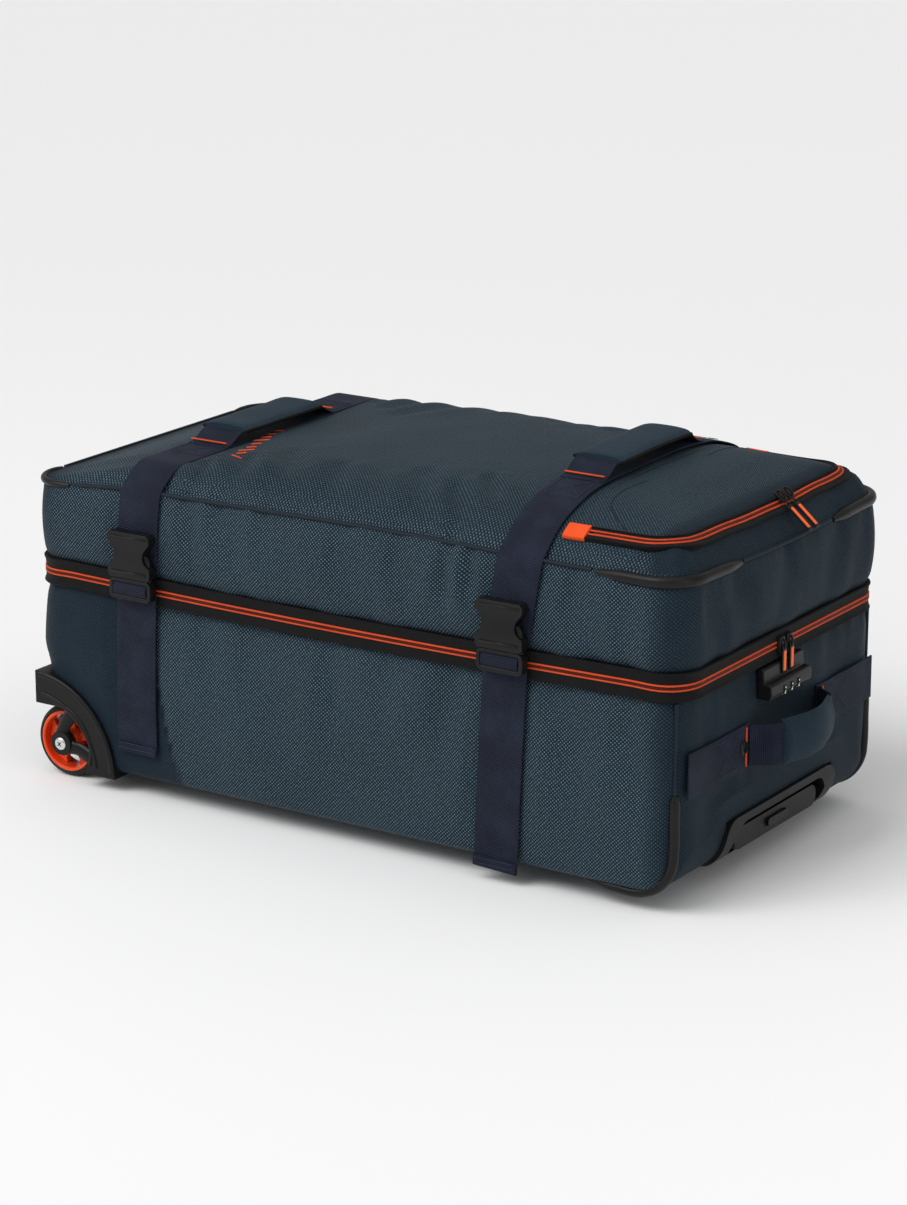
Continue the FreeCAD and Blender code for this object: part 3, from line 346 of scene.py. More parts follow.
def base_form():
    """The lower half's outer surface, from under the middle out and up to the main zip."""
    rings = []
    flat = [HALF_W - 0.007 - (HALF_W - 0.007 - EDGE) * t for t in np.linspace(0, 1, 34)[:-1]]
    for inset in flat:
        rings.append((inset, UNDER))
    for angle in np.linspace(0, math.pi / 2, 6):
        rings.append((EDGE * (1 - math.sin(angle)), UNDER + EDGE * (1 - math.cos(angle))))
    for level in np.linspace(UNDER + EDGE, ZIP_LOW + 0.002, 43)[1:]:
        rings.append((0.0, level))
    surface = []
    for inset, level in rings:
        xy = ring(inset)
        surface.append(np.column_stack([xy, np.full(len(xy), level)]))
    P = np.array(surface)
    x, y, z = P[..., 0], P[..., 1], P[..., 2]
    n = np.broadcast_to(NORMAL, P.shape[:2] + (2,))
    on_side = step(UNDER, UNDER + EDGE, z)
    share = (z - UNDER) / (ZIP_LOW - UNDER)
    swell = np.sin(np.clip(share, 0, 1) * math.pi) ** 0.8
    long_side = abs(n[..., 1]) ** 2
    handle_end = np.clip(n[..., 0], 0, 1) ** 2
    wheel_end = np.clip(-n[..., 0], 0, 1) ** 2
    out = swell * (0.0048 * long_side * (1 - 0.72 * strap_press(x, y, z)) + 0.0060 * wheel_end)
    run = x * n[..., 1] + y * n[..., 0]
    out += on_side * 0.0011 * noise(P, 0.075, 1) * (1 - handle_end)
    out -= on_side * 0.0010 * handle_end * (1 + noise(P, 0.05, 2))
    out += on_side * puckers(run, 0.012, ZIP_LOW - z)
    out -= on_side * crease_depth(P, BASE_CREASES) * (1 - 0.8 * strap_press(x, y, z))
    out -= 0.002 * step(0.90, 1.0, share)
    out *= near_fittings(x, y, z)
    P[..., :2] += n * out[..., None]
    # the lower edge at the handle end is rounded by a larger radius
    past = np.clip((x - (base_high.x - TOE)) / TOE, 0, 1)
    lift = TOE * (1 - np.sqrt(np.maximum(1 - past**2, 0)))
    top = UNDER + 2.2 * TOE
    span = np.clip((top - z) / (top - UNDER), 0, 1)
    P[..., 2] += lift * span
    P[..., 2] += step(0.6, 1.0, share) * zip_lift(x)
    return P


def lid_form():
    """The upper half's outer surface, from the main zip up and over the top."""
    tops = [0.0015, 0.004, 0.007, 0.0105, 0.0145] + list(np.linspace(0.019, HALF_W - 0.007, 42))
    surface = []
    edge = ring(0.0)
    low = ZIP_TOP - 0.002 + zip_lift(edge[:, 0])
    high = SEAM + seam_lift(edge[:, 0], edge[:, 1])
    for share in np.linspace(0, 1, SIDE_ROWS):
        surface.append(np.column_stack([edge, low + (high - low) * share]))
    for inset in tops:
        xy = ring(inset)
        level = SEAM + seam_lift(edge[:, 0], edge[:, 1]) * max(0, 1 - inset / 0.08)
        ramp = 1 - (1 - min(inset / 0.016, 1)) ** 2
        surface.append(np.column_stack([xy, level + ramp * dome(xy[:, 0], xy[:, 1])]))
    P = np.array(surface)
    x, y, z = P[..., 0], P[..., 1], P[..., 2]
    n = np.broadcast_to(NORMAL, P.shape[:2] + (2,))
    rows = np.arange(len(P))[:, None] * np.ones(P.shape[1])[None]
    share = np.clip(rows / (SIDE_ROWS - 1), 0, 1)
    side = (rows < SIDE_ROWS)
    run = x * n[..., 1] + y * n[..., 0]
    long_side = abs(n[..., 1]) ** 2
    end_side = abs(n[..., 0]) ** 2
    swell = np.sin(share * math.pi) ** 0.75
    press = strap_press(x, y, z)
    end_swell = 0.0042 - 0.0050 * (n[..., 0] < 0)
    out = swell * (0.0062 * long_side * (1 - 0.68 * press) + end_swell * end_side + 0.002)
    out += swell * 0.0016 * noise(P, 0.06, 7)
    out -= 0.0028 * step(0.14, 0.0, share)
    depth = crease_depth(P, LID_CREASES) * (1 - 0.8 * press)
    seam_gap = abs(z - SEAM - seam_lift(x, y))
    out += puckers(run, 0.012, seam_gap)
    P[..., :2] += n * (np.where(side, out - depth, 0))[..., None]
    # the top sags a little between what holds it up
    inset_rows = np.array([0.0] * SIDE_ROWS + tops)[:, None] * np.ones(P.shape[1])[None]
    sag = np.where(side, 0, step(0.004, 0.05, inset_rows))
    pocket = step(POCKET_FOLD - 0.02, POCKET_FOLD + 0.01, x)
    P[..., 2] += sag * (0.0018 * noise(P, 0.10, 11) + 0.0009 * noise(P, 0.045, 12) * (1 - pocket))
    P[..., 2] -= np.where(side, 0, depth) * step(0.0, 0.01, inset_rows)
    P[..., 2] += np.where(side, 0, 0.5 * puckers(run, 0.014, inset_rows)) * step(0.0, 0.008, inset_rows)
    return P


LID = lid_form()
BASE = base_form()


def top_height(x, y):
    """Height of the finished top at a place, read from the lid's own surface."""
    points = LID[SIDE_ROWS - 1:].reshape(-1, 3)
    x, y = np.broadcast_arrays(np.asarray(x, float), np.asarray(y, float))
    out = np.empty(x.size)
    for k, (px, py) in enumerate(zip(x.ravel(), y.ravel())):
        gap = (points[:, 0] - px) ** 2 + (points[:, 1] - py) ** 2
        near = np.argpartition(gap, 4)[:4]
        weight = 1 / (gap[near] + 1e-8)
        out[k] = (points[near, 2] * weight).sum() / weight.sum()
    return out.reshape(x.shape)


# ---------------------------------------------------------------- mesh making

class Build:
    """Collects solids and surfaces into one mesh, with a material number for each face."""

    def __init__(self):
        self.verts, self.faces, self.mats, self.uvs = [], [], [], []

    def add(self, verts, faces, mat=0, uvs=None):
        """Adds points and faces; mat is one material number or one for each face."""
        start = len(self.verts)
        self.verts += [tuple(v) for v in verts]
        for k, face in enumerate(faces):
            self.faces.append([start + int(i) for i in face])
            self.mats.append(mat if np.isscalar(mat) else int(mat[k]))
            self.uvs.append(None if uvs is None else uvs[k])
        return self

    def grid(self, P, close_u=False, close_v=False, mat=0, uv=None, caps=False):
        """A sheet of quads over points P[u, v]; uv holds each point's place in the weave."""
        nu, nv = P.shape[:2]
        I, J = np.meshgrid(np.arange(nu if close_u else nu - 1), np.arange(nv if close_v else nv - 1),
                           indexing="ij")
        corners = ((I, J), (I + 1, J), (I + 1, J + 1), (I, J + 1))
        faces = np.stack([(a % nu) * nv + b % nv for a, b in corners], -1).reshape(-1, 4)
        if uv is None:
            run = run_of(P[:, 0])
            wide = run_of(P[0])
            uv = np.stack(np.meshgrid(run, wide, indexing="ij"), -1)
        if close_u and len(uv) == nu:
            uv = np.concatenate([uv, uv[-1:] + (uv[-1:] - uv[-2:-1])], 0)
        if close_v and uv.shape[1] == nv:
            uv = np.concatenate([uv, uv[:, -1:] + (uv[:, -1:] - uv[:, -2:-1])], 1)
        loops = np.stack([uv[a, b] for a, b in corners], 2).reshape(-1, 4, 2)
        numbers = mat
        if not np.isscalar(mat):
            numbers = np.broadcast_to(np.asarray(mat)[None, :], I.shape).reshape(-1)
        self.add(P.reshape(-1, 3), faces, numbers, loops)
        if caps:
            start = len(self.verts) - nu * nv
            for row, turn in ((0, 1), (nu - 1, -1)):
                self.faces.append([start + row * nv + j for j in range(nv)][::turn])
                self.mats.append(numbers if np.isscalar(numbers) else int(numbers[0]))
                self.uvs.append(None)
        return self

    def block(self, centre, dims, soft=0.0, turn=None, mat=0):
        """A box with rounded edges."""
        made = bmesh.new()
        bmesh.ops.create_cube(made, size=1)
        for v in made.verts:
            v.co = Vector(v.co[k] * dims[k] for k in range(3))
        if soft:
            bmesh.ops.bevel(made, geom=made.edges[:], offset=soft, segments=2, profile=0.5, affect="EDGES")
        return self.take(made, centre, turn, mat)

    def take(self, made, centre=(0, 0, 0), turn=None, mat=0):
        """Adds a bmesh, turned and moved."""
        spin = turn if turn is not None else Matrix.Identity(3)
        made.verts.index_update()
        verts = [spin @ v.co + Vector(centre) for v in made.verts]
        faces = [[v.index for v in f.verts] for f in made.faces]
        made.free()
        return self.add(verts, faces, mat)

    def lathe(self, profile, centre, axis, sides):
        """A turned solid about X or Y: profile is (radius, distance along the axis)."""
        angles = np.arange(sides) * 2 * math.pi / sides
        r, h = np.array(profile, float).T
        across = np.cos(angles)[:, None] * r[None]
        up = np.sin(angles)[:, None] * r[None]
        along = np.broadcast_to(h[None], across.shape)
        order = (across, along, up) if axis == "y" else (along, across, up)
        P = np.stack(order, -1) + np.array(centre, float)
        return self.grid(P[::-1], close_u=True, close_v=True)

    def tube(self, path, radius, sides=12, mat=0, flat=1.0, up=(0, 0, 1), caps=True):
        """A round or flattened bar along a path; radius may vary from point to point."""
        path = np.array(path, float)
        radius = np.broadcast_to(np.asarray(radius, float), (len(path),))
        tangent = unit(np.gradient(path, axis=0))
        up = np.broadcast_to(np.array(up, float), path.shape)
        side = unit(np.cross(tangent, up))
        top = np.cross(side, tangent)
        angle = np.arange(sides) * 2 * math.pi / sides
        P = (path[:, None] + side[:, None] * (np.cos(angle)[None, :, None] * radius[:, None, None])
             + top[:, None] * (np.sin(angle)[None, :, None] * flat * radius[:, None, None]))
        return self.grid(P, close_v=True, caps=caps, mat=mat)

    def band(self, path, across, width, thick):
        """A strap along a path: across is its width's direction, thick its depth."""
        path = np.array(path, float)
        tangent = unit(np.gradient(path, axis=0))
        across = np.broadcast_to(np.array(across, float), path.shape)
        out = unit(np.cross(across, tangent))
        across = unit(np.cross(tangent, out))
        shares = np.array([-1, -0.985, -0.94, -0.6, -0.2, 0.2, 0.6, 0.94, 0.985, 1])
        lift = np.array([0, 0.8, 1, 1, 1, 1, 1, 1, 0.8, 0])
        row = section(shares * width / 2, lift * thick / 2, 1)
        P = path[:, None] + across[:, None] * row[None, :, :1] + out[:, None] * row[None, :, 1:]
        run = run_of(path)
        uv = np.stack(np.meshgrid(run, row[:, 0], indexing="ij"), -1)
        uv = np.concatenate([uv, uv[:, :1]], 1)
        return self.grid(P, close_v=True, caps=True, uv=uv)

    def prism(self, points, low, high, holes=()):
        """A plate cut to an outline in X and Z, between two levels of Y."""
        made = bmesh.new()
        loops = []
        for ring_points in (points, *holes):
            corners = [made.verts.new((x, low, z)) for x, z in ring_points]
            loops.append([made.edges.new((corners[k], corners[(k + 1) % len(corners)]))
                          for k in range(len(corners))])
        edges = [e for loop in loops for e in loop]
        bmesh.ops.triangle_fill(made, edges=edges, use_beauty=True)
        bmesh.ops.dissolve_limit(made, angle_limit=0.01, verts=made.verts[:], edges=made.edges[:])
        return self.push(made, high - low)

    def push(self, made, depth):
        """Draws a flat bmesh out along Y into a solid and adds it."""
        pushed = bmesh.ops.extrude_face_region(made, geom=made.faces[:])
        moved = [v for v in pushed["geom"] if isinstance(v, bmesh.types.BMVert)]
        bmesh.ops.translate(made, vec=(0, depth, 0), verts=moved)
        bmesh.ops.recalc_face_normals(made, faces=made.faces[:])
        return self.take(made)

    def piece(self, name, body, materials, slot, smooth=35, bevel=0.0, replaces=(), blend=None, thick=0.0):
        """Makes the object, gives it its materials and weave coordinates, and rides it on its body."""
        mesh = bpy.data.meshes.new(name)
        mesh.from_pydata(self.verts, [], self.faces)
        materials = materials if isinstance(materials, (list, tuple)) else [materials]
        for material in materials:
            mesh.materials.append(material)
        mesh.polygons.foreach_set("material_index", np.array(self.mats, np.int32))
        layer = mesh.uv_layers.new(name="UVMap")
        flat = []
        for polygon, uv in zip(mesh.polygons, self.uvs):
            if uv is not None:
                flat.extend((float(a), float(b)) for a, b in uv)
                continue
            facing = [abs(a) for a in polygon.normal]
            kept = [k for k in range(3) if k != facing.index(max(facing))]
            for v in polygon.vertices:
                flat.append([self.verts[v][k] for k in kept])
        layer.data.foreach_set("uv", np.array(flat, np.float32).ravel())
        mesh.validate()
        made = bmesh.new()
        made.from_mesh(mesh)
        if not thick:
            bmesh.ops.recalc_face_normals(made, faces=made.faces[:])
        made.to_mesh(mesh)
        made.free()
        obj = bpy.data.objects.new(name, mesh)
        bpy.context.scene.collection.objects.link(obj)
        if thick:
            wall = obj.modifiers.new("wall", "SOLIDIFY")
            wall.thickness = thick
            wall.offset = -1
            wall.material_offset = 1
        if bevel:
            soften(obj, bevel, 2, 35)
        mesh.shade_smooth()
        mesh.set_sharp_from_angle(angle=math.radians(smooth))
        if blend:
            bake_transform(obj)
        else:
            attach(obj, body)
        if replaces:
            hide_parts(*replaces)
        return obj


def soften(obj, width, segments, angle):
    """Rounds an object's sharp edges."""
    edge = obj.modifiers.new("edges", "BEVEL")
    edge.width = width
    edge.segments = segments
    edge.limit_method = "ANGLE"
    edge.angle_limit = math.radians(angle)


def section(across, height, under):
    """A closed cross-section: over the top one way, and back below at a share of the height."""
    over = list(zip(across, height))
    return np.array(over + [(a, -h * under) for a, h in over[-2:0:-1]])


def arc_points(centre, radius, start, end, count):
    """Points of an arc in a plane, angles in degrees."""
    return [(centre[0] + radius * math.cos(math.radians(a)), centre[1] + radius * math.sin(math.radians(a)))
            for a in np.linspace(start, end, count)]


def rounded_box(middle, width, height, radius, count=5):
    """A rounded rectangle's outline."""
    points = []
    for turn, (sx, sy) in enumerate(((1, -1), (1, 1), (-1, 1), (-1, -1))):
        corner = (middle[0] + sx * (width / 2 - radius), middle[1] + sy * (height / 2 - radius))
        points += arc_points(corner, radius, 90 * turn - 90, 90 * turn, count)
    return points


# ---------------------------------------------------------------- materials

def linear(r, g, b):
    """A colour given in 0-255 steps, as linear values."""
    shares = (r / 255, g / 255, b / 255)
    return tuple(c / 12.92 if c < 0.04045 else ((c + 0.055) / 1.055) ** 2.4 for c in shares) + (1,)


class Shader:
    """A material and short calls for its nodes: each call adds one node and gives its output."""

    def __init__(self, name, **sockets):
        self.material = bpy.data.materials.new(name)
        self.material.use_nodes = True
        self.tree = self.material.node_tree
        self.bsdf = self.tree.nodes["Principled BSDF"]
        for socket, value in sockets.items():
            self.bsdf.inputs[socket.replace("_", " ")].default_value = value

    def node(self, kind, inputs=(), out=0, **settings):
        made = self.tree.nodes.new("ShaderNode" + kind)
        for key, value in settings.items():
            setattr(made, key, value)
        for key, value in dict(inputs).items():
            if isinstance(value, bpy.types.NodeSocket):
                self.tree.links.new(value, made.inputs[key])
            else:
                made.inputs[key].default_value = value
        return made.outputs[out]

    def math(self, operation, a, b=0.0):
        return self.node("Math", {0: a, 1: b}, operation=operation)

    def times(self, a, b):
        return self.math("MULTIPLY", a, b)

    def plus(self, a, b):
        return self.math("ADD", a, b)

    def wave(self, place, length):
        """A sine along a coordinate."""
        return self.math("SINE", self.times(place, 2 * math.pi / length))

    def mix(self, share, a, b):
        return self.node("Mix", {0: share, 6: a, 7: b}, out=2, data_type="RGBA")

    def fit(self, value, low, high, to_low=0.0, to_high=1.0):
        return self.node("MapRange", {0: value, 1: low, 2: high, 3: to_low, 4: to_high},
                         interpolation_type="SMOOTHSTEP")

    def grain(self, scale, detail=3.0, rough=0.55, where=None):
        inputs = {"Scale": scale, "Detail": detail, "Roughness": rough}
        inputs["Vector"] = where if where is not None else self.node("TexCoord", out=3)
        return self.node("TexNoise", inputs)

    def uv(self):
        """The piece's own weave coordinates, along and across."""
        place = self.node("UVMap", uv_map="UVMap")
        split = self.tree.nodes.new("ShaderNodeSeparateXYZ")
        self.tree.links.new(place, split.inputs[0])
        return place, split.outputs[0], split.outputs[1]

    def set(self, **links):
        for socket, value in links.items():
            self.tree.links.new(value, self.bsdf.inputs[socket.replace("_", " ")])

    def bump(self, height, strength, distance):
        made = self.node("Bump", {"Height": height, "Strength": strength, "Distance": distance})
        self.tree.links.new(made, self.bsdf.inputs["Normal"])


def woven_cloth(name, dark, mid, light, pitch=0.0025, light_yarn_and_glint=1.0, rough=0.62):
    """Two-tone ballistic weave: dark and light yarns cross in a checker of small pillows.
    The mesh's own "speck" values set how strongly the light yarns show, with a painted highlight on them that
    is fainter on the ends and the top."""
    dark, mid, light = linear(*dark), linear(*mid), linear(*light)
    s = Shader(name, Roughness=rough, Sheen_Weight=0.02, Sheen_Roughness=0.45, Specular_IOR_Level=0.12,
               Specular_Tint=(0.7, 0.85, 1, 1))
    place, u, v = s.uv()
    check = s.times(s.wave(u, 2 * pitch), s.wave(v, 2 * pitch))
    pillow = s.fit(check, 0.05, 0.75)
    yarn = s.grain(330, 2, where=place)
    cloud = s.grain(9, 4)
    amount = s.node("Attribute", attribute_name="light_yarn_and_glint", out=2)
    # gain: how strongly the light yarns show, partly their own colour and partly a painted highlight, fainter
    # where the mesh's values are low
    gain = s.times(s.times(s.times(pillow, s.fit(yarn, 0.25, 0.7, 0.35, 1.0)), amount), light_yarn_and_glint)
    ground = s.mix(s.fit(cloud, 0.3, 0.7), dark, mid)
    shade = s.node("Attribute", attribute_name="shade", out=2)
    colour = s.mix(gain, ground, light)
    colour = s.mix(s.times(shade, 0.75), colour, linear(7, 12, 18))
    s.set(Base_Color=colour)
    s.set(Roughness=s.math("SUBTRACT", rough, s.times(gain, 0.16)))
    height = s.plus(s.math("ABSOLUTE", check), s.times(yarn, 0.3))
    s.bump(height, 0.55, 0.0006)
    return s.material


def webbing(name, dark, light, rib=0.0021):
    """Flat woven strap: ribs across it, thick selvages, and a fine twill inside each rib."""
    dark, light = linear(*dark), linear(*light)
    s = Shader(name, Roughness=0.6, Sheen_Weight=0.02, Sheen_Roughness=0.4, Specular_IOR_Level=0.12)
    _, u, v = s.uv()
    zig = s.math("PINGPONG", v, 0.0022)
    ribs = s.wave(s.plus(u, s.times(zig, 0.35)), rib)
    twill = s.wave(v, 0.0013)
    weave = s.plus(s.times(ribs, 0.7), s.times(twill, 0.3))
    cloud = s.grain(28, 4)
    lit = s.plus(s.fit(weave, -1.0, 1.0, 0.0, 0.75), s.fit(cloud, 0.35, 0.7, -0.15, 0.25))
    s.set(Base_Color=s.mix(s.node("Clamp", {0: lit}), dark, light))
    s.bump(weave, 0.6, 0.0005)
    return s.material


def moulded(name, colour, rough, worn, scale=900, depth=0.00015):
    """Moulded plastic or rubber: a fine spark grain, uneven gloss and slightly worn edges."""
    colour, worn = linear(*colour), linear(*worn)
    s = Shader(name, Roughness=rough, Specular_IOR_Level=0.2)
    grit = s.grain(scale, 2)
    patch = s.grain(22, 4)
    edge = s.fit(s.node("NewGeometry", out=7), 0.505, 0.56)
    base = s.mix(s.fit(patch, 0.35, 0.7, 0.0, 0.35), colour, worn)
    s.set(Base_Color=s.mix(s.times(edge, 0.45), base, worn))
    s.set(Roughness=s.plus(rough - 0.06, s.times(patch, 0.14)))
    s.bump(grit, 0.25, depth)
    return s.material


def ribbed_tape(name, dark, light, pitch=0.0012, rough=0.7):
    """Knitted zip tape."""
    dark, light = linear(*dark), linear(*light)
    s = Shader(name, Roughness=rough, Sheen_Weight=0.02, Specular_IOR_Level=0.12)
    _, u, v = s.uv()
    knit = s.times(s.wave(u, pitch), s.wave(v, pitch))
    cloud = s.grain(60, 3)
    share = s.times(s.fit(knit, -0.6, 0.9), s.fit(cloud, 0.2, 0.8, 0.5, 1))
    s.set(Base_Color=s.mix(share, dark, light))
    s.bump(knit, 0.5, 0.0003)
    return s.material


def metal(name, colour, rough):
    """Bare metal, brushed a little unevenly."""
    s = Shader(name, Base_Color=colour, Metallic=1.0, Roughness=rough)
    brushed = s.grain(160, 4)
    s.set(Roughness=s.plus(rough - 0.08, s.times(brushed, 0.16)))
    s.bump(brushed, 0.12, 0.0001)
    return s.material


M = {
    "weave": woven_cloth("Ballistic weave", (16, 28, 38), (23, 36, 45), (100, 123, 134), 0.0019),
    "plain": woven_cloth("Plain weave", (24, 38, 49), (31, 46, 57), (66, 86, 98), 0.0017, 0.8),
    "lining": woven_cloth("Lining", (44, 49, 56), (50, 55, 62), (78, 84, 92), 0.003, 0.5, 0.5),
    "webbing": webbing("Navy webbing", (15, 19, 31), (38, 45, 64)),
    "tape": ribbed_tape("Black zip tape", (9, 9, 10), (26, 26, 27)),
    "orange": ribbed_tape("Orange stripe", (186, 62, 30), (236, 100, 56), 0.0017),
    "orange_cloth": ribbed_tape("Orange cloth", (228, 74, 26), (255, 104, 50), 0.0015, 0.6),
    "teeth": moulded("Zip coil", (40, 17, 14), 0.35, (120, 46, 30)),
    "plastic": moulded("Black plastic", (9, 9, 10), 0.34, (28, 28, 29)),
    "guard": moulded("Guard plastic", (9, 9, 10), 0.40, (26, 26, 27)),
    "rubber": moulded("Trim rubber", (11, 11, 12), 0.36, (30, 30, 31), 500, 0.0002),
    "tyre": moulded("Tyre rubber", (14, 14, 15), 0.5, (32, 32, 33), 400, 0.0003),
    "hub": moulded("Orange hub", (214, 56, 18), 0.2, (250, 118, 66), 700, 0.00006),
    "pull": moulded("Orange pull", (246, 80, 20), 0.38, (255, 126, 60), 700, 0.0001),
    "steel": metal("Steel", (0.72, 0.73, 0.72, 1), 0.28),
    "alloy": metal("Trolley tube", (0.42, 0.43, 0.45, 1), 0.32),
    "board": moulded("Board", (48, 47, 46), 0.6, (70, 70, 68), 300, 0.0002),
    "white": moulded("Dial marks", (214, 216, 216), 0.5, (235, 235, 235)),
    "thread": moulded("Thread", (36, 41, 66), 0.6, (58, 64, 90), 500, 0.0001),
    "plain_trim": moulded("Seam piping", (12, 20, 28), 0.6, (26, 38, 48), 500, 0.0002),
    "pull_black": moulded("Release button", (7, 7, 8), 0.22, (30, 30, 31)),
    "net": woven_cloth("Divider net", (40, 44, 50), (48, 52, 58), (86, 90, 96), 0.004, 0.6),
}


def paint(obj, values):
    """Stores a number at each vertex, for a material to read."""
    for name, numbers in values.items():
        layer = obj.data.attributes.new(name, "FLOAT", "POINT")
        layer.data.foreach_set("value", np.asarray(numbers, np.float32))


def coordinates(obj):
    """A mesh's points, one row each."""
    co = np.empty(len(obj.data.vertices) * 3, np.float32)
    obj.data.vertices.foreach_get("co", co)
    return co.reshape(-1, 3).astype(float)


def cloth_values(obj):
    """Light yarns, which carry a painted highlight, are strongest on the long sides and the top, weak on the
    ends; seams and the zip's edges lie in painted shade.
    """
    P = coordinates(obj)
    x, y, z = P[:, 0] - MID, P[:, 1], P[:, 2]
    end = np.maximum(step(HALF_L - 0.045, HALF_L - 0.01, abs(x)) * (z < SEAM + 0.004),
                     step(HALF_L - 0.05, HALF_L - 0.03, x) * (z >= SEAM + 0.004))
    on_top = step(SEAM + 0.004, SEAM + 0.02, z)
    slant = -0.232 + 0.035 * (0.173 - np.clip(z, 0, 0.2)) / 0.15
    toe = step(slant - 0.001, slant - 0.003, x) * (z < ZIP_LOW + 0.004)
    # painted highlight on the light yarns: fainter on the end faces and on the top, nearly none on the toe
    # panel
    light_yarn_and_glint = np.clip(1 - 0.85 * end - 0.4 * on_top, 0.1, 1)
    light_yarn_and_glint = np.where(toe > 0.5, 0.12, light_yarn_and_glint)
    zip_gap = np.minimum(abs(z - ZIP_TOP - zip_lift(P[:, 0])), abs(z - ZIP_LOW - zip_lift(P[:, 0])))
    edge = np.maximum(abs(x) - HALF_L, abs(y) - HALF_W) > -0.012
    seam_gap = abs(z - SEAM - seam_lift(P[:, 0], y))
    shade = 0.55 * np.exp(-zip_gap / 0.004) + 0.35 * np.exp(-seam_gap / 0.003) * edge
    curve = 0.004 * np.sin(np.clip((z - 0.03) / 0.15, 0, 1) * math.pi)
    line = -0.232 + 0.035 * (0.173 - np.clip(z, 0, 0.215)) / 0.15 - curve
    seam = np.exp(-((x - line) / 0.0016) ** 2) * (z < ZIP_LOW + 0.004) * (abs(y) > HALF_W - 0.02)
    paint(obj, {"light_yarn_and_glint": light_yarn_and_glint, "shade": np.clip(shade + 0.9 * seam, 0, 1)})
    return obj


# ---------------------------------------------------------------- fabric shells

def closed_faces(rows, columns, from_middle):
    """Quads over a stack of rings, and the strip that closes the innermost ring, which comes first
    in a form built from its middle outwards."""
    I, J = np.meshgrid(np.arange(rows - 1), np.arange(columns), indexing="ij")
    faces = np.stack([I * columns + J, I * columns + (J + 1) % columns,
                      (I + 1) * columns + (J + 1) % columns, (I + 1) * columns + J], -1).reshape(-1, 4)
    first = 0 if from_middle else (rows - 1) * columns
    strip = [[first + j, first + j + 1, first + (columns - j - 1) % columns, first + (columns - j) % columns]
             for j in range(1, columns // 2 - 1)]
    return [list(f) for f in faces], [f[::-1] if from_middle else f for f in strip]


def base_gap(P):
    """Distance from the wheel guards and the handle's cup: the cloth stops just under their rims."""
    guard = np.hypot(P[:, 0] - GUARD[0], P[:, 2] - GUARD[1]) - (GUARD[2] - 0.003)
    guard = np.where(abs(P[:, 1]) < HALF_W + 0.004 - 0.048 + 0.002, 1, guard)
    across = abs(P[:, 1]) - (BEZEL_HIGH.y - 0.004)
    above = P[:, 2] - (BEZEL_HIGH.z - 0.004)
    cup = np.where(P[:, 0] > BEZEL_LOW.x + 0.004, np.maximum(across, above), 1)
    return np.minimum(guard, cup)


def pocket_outline_gap(P, extra):
    """Distance outside the pocket's rounded outline, grown by extra."""
    radius = POCKET_CORNER + extra
    half_y = HALF_W - POCKET_INSET + extra
    dx = P[:, 0] - (POCKET_END + extra - radius)
    dy = abs(P[:, 1]) - (half_y - radius)
    return np.hypot(np.maximum(dx, 0), np.maximum(dy, 0)) + np.minimum(np.maximum(dx, dy), 0) - radius


def lid_gap(P):
    """Positive outside the pocket's opening."""
    outside = np.maximum(pocket_outline_gap(P, -0.002), POCKET_FOLD - P[:, 0])
    return np.where(P[:, 2] > SEAM - 0.012, outside, 1)


def flap_gap(P):
    """Positive on the flap."""
    inside = -np.maximum(pocket_outline_gap(P, -0.0125), POCKET_FOLD - P[:, 0])
    return np.where(P[:, 2] > SEAM - 0.002, inside, -1)


def trimmed(P, faces, distance, snap=0.0026):
    """Cuts a surface along a line: distance is positive where cloth stays, and points near the line
    slide onto it first."""
    flat = P.reshape(-1, 3).copy()
    gap = distance(flat)
    small = 1e-4
    slope = np.stack([(distance(flat + np.eye(3)[k] * small) - gap) / small for k in range(3)], -1)
    near = (abs(gap) < snap) & ((slope**2).sum(1) < 4)
    flat[near] -= (slope * gap[:, None] / np.maximum((slope**2).sum(1), 1e-6)[:, None])[near]
    quads = np.array(faces)
    middle = flat[quads].mean(1)
    kept = quads[distance(middle) > 0]
    return flat, kept


def box_uv(obj):
    """Weave coordinates straight from the place: the flat of the panel that each face lies on."""
    mesh = obj.data
    co = coordinates(obj)
    loops = np.empty(len(mesh.loops), np.int32)
    mesh.loops.foreach_get("vertex_index", loops)
    count = np.empty(len(mesh.polygons), np.int32)
    mesh.polygons.foreach_get("loop_total", count)
    normal = np.empty(len(mesh.polygons) * 3, np.float32)
    mesh.polygons.foreach_get("normal", normal)
    normal = abs(np.repeat(normal.reshape(-1, 3), count, axis=0))
    place = co[loops]
    uv = np.where((normal[:, 2] > 0.62)[:, None], place[:, :2],
                  np.where((normal[:, 1] > normal[:, 0])[:, None], place[:, [0, 2]], place[:, [1, 2]]))
    mesh.uv_layers["UVMap"].data.foreach_set("uv", uv.astype(np.float32).ravel())


def plain_weave(obj, light_yarn_and_glint):
    """Weave coordinates and an even strength of light yarns, with their painted highlight, for a small padded
    piece.
    """
    box_uv(obj)
    count = len(obj.data.vertices)
    paint(obj, {"light_yarn_and_glint": np.full(count, light_yarn_and_glint), "shade": np.zeros(count)})


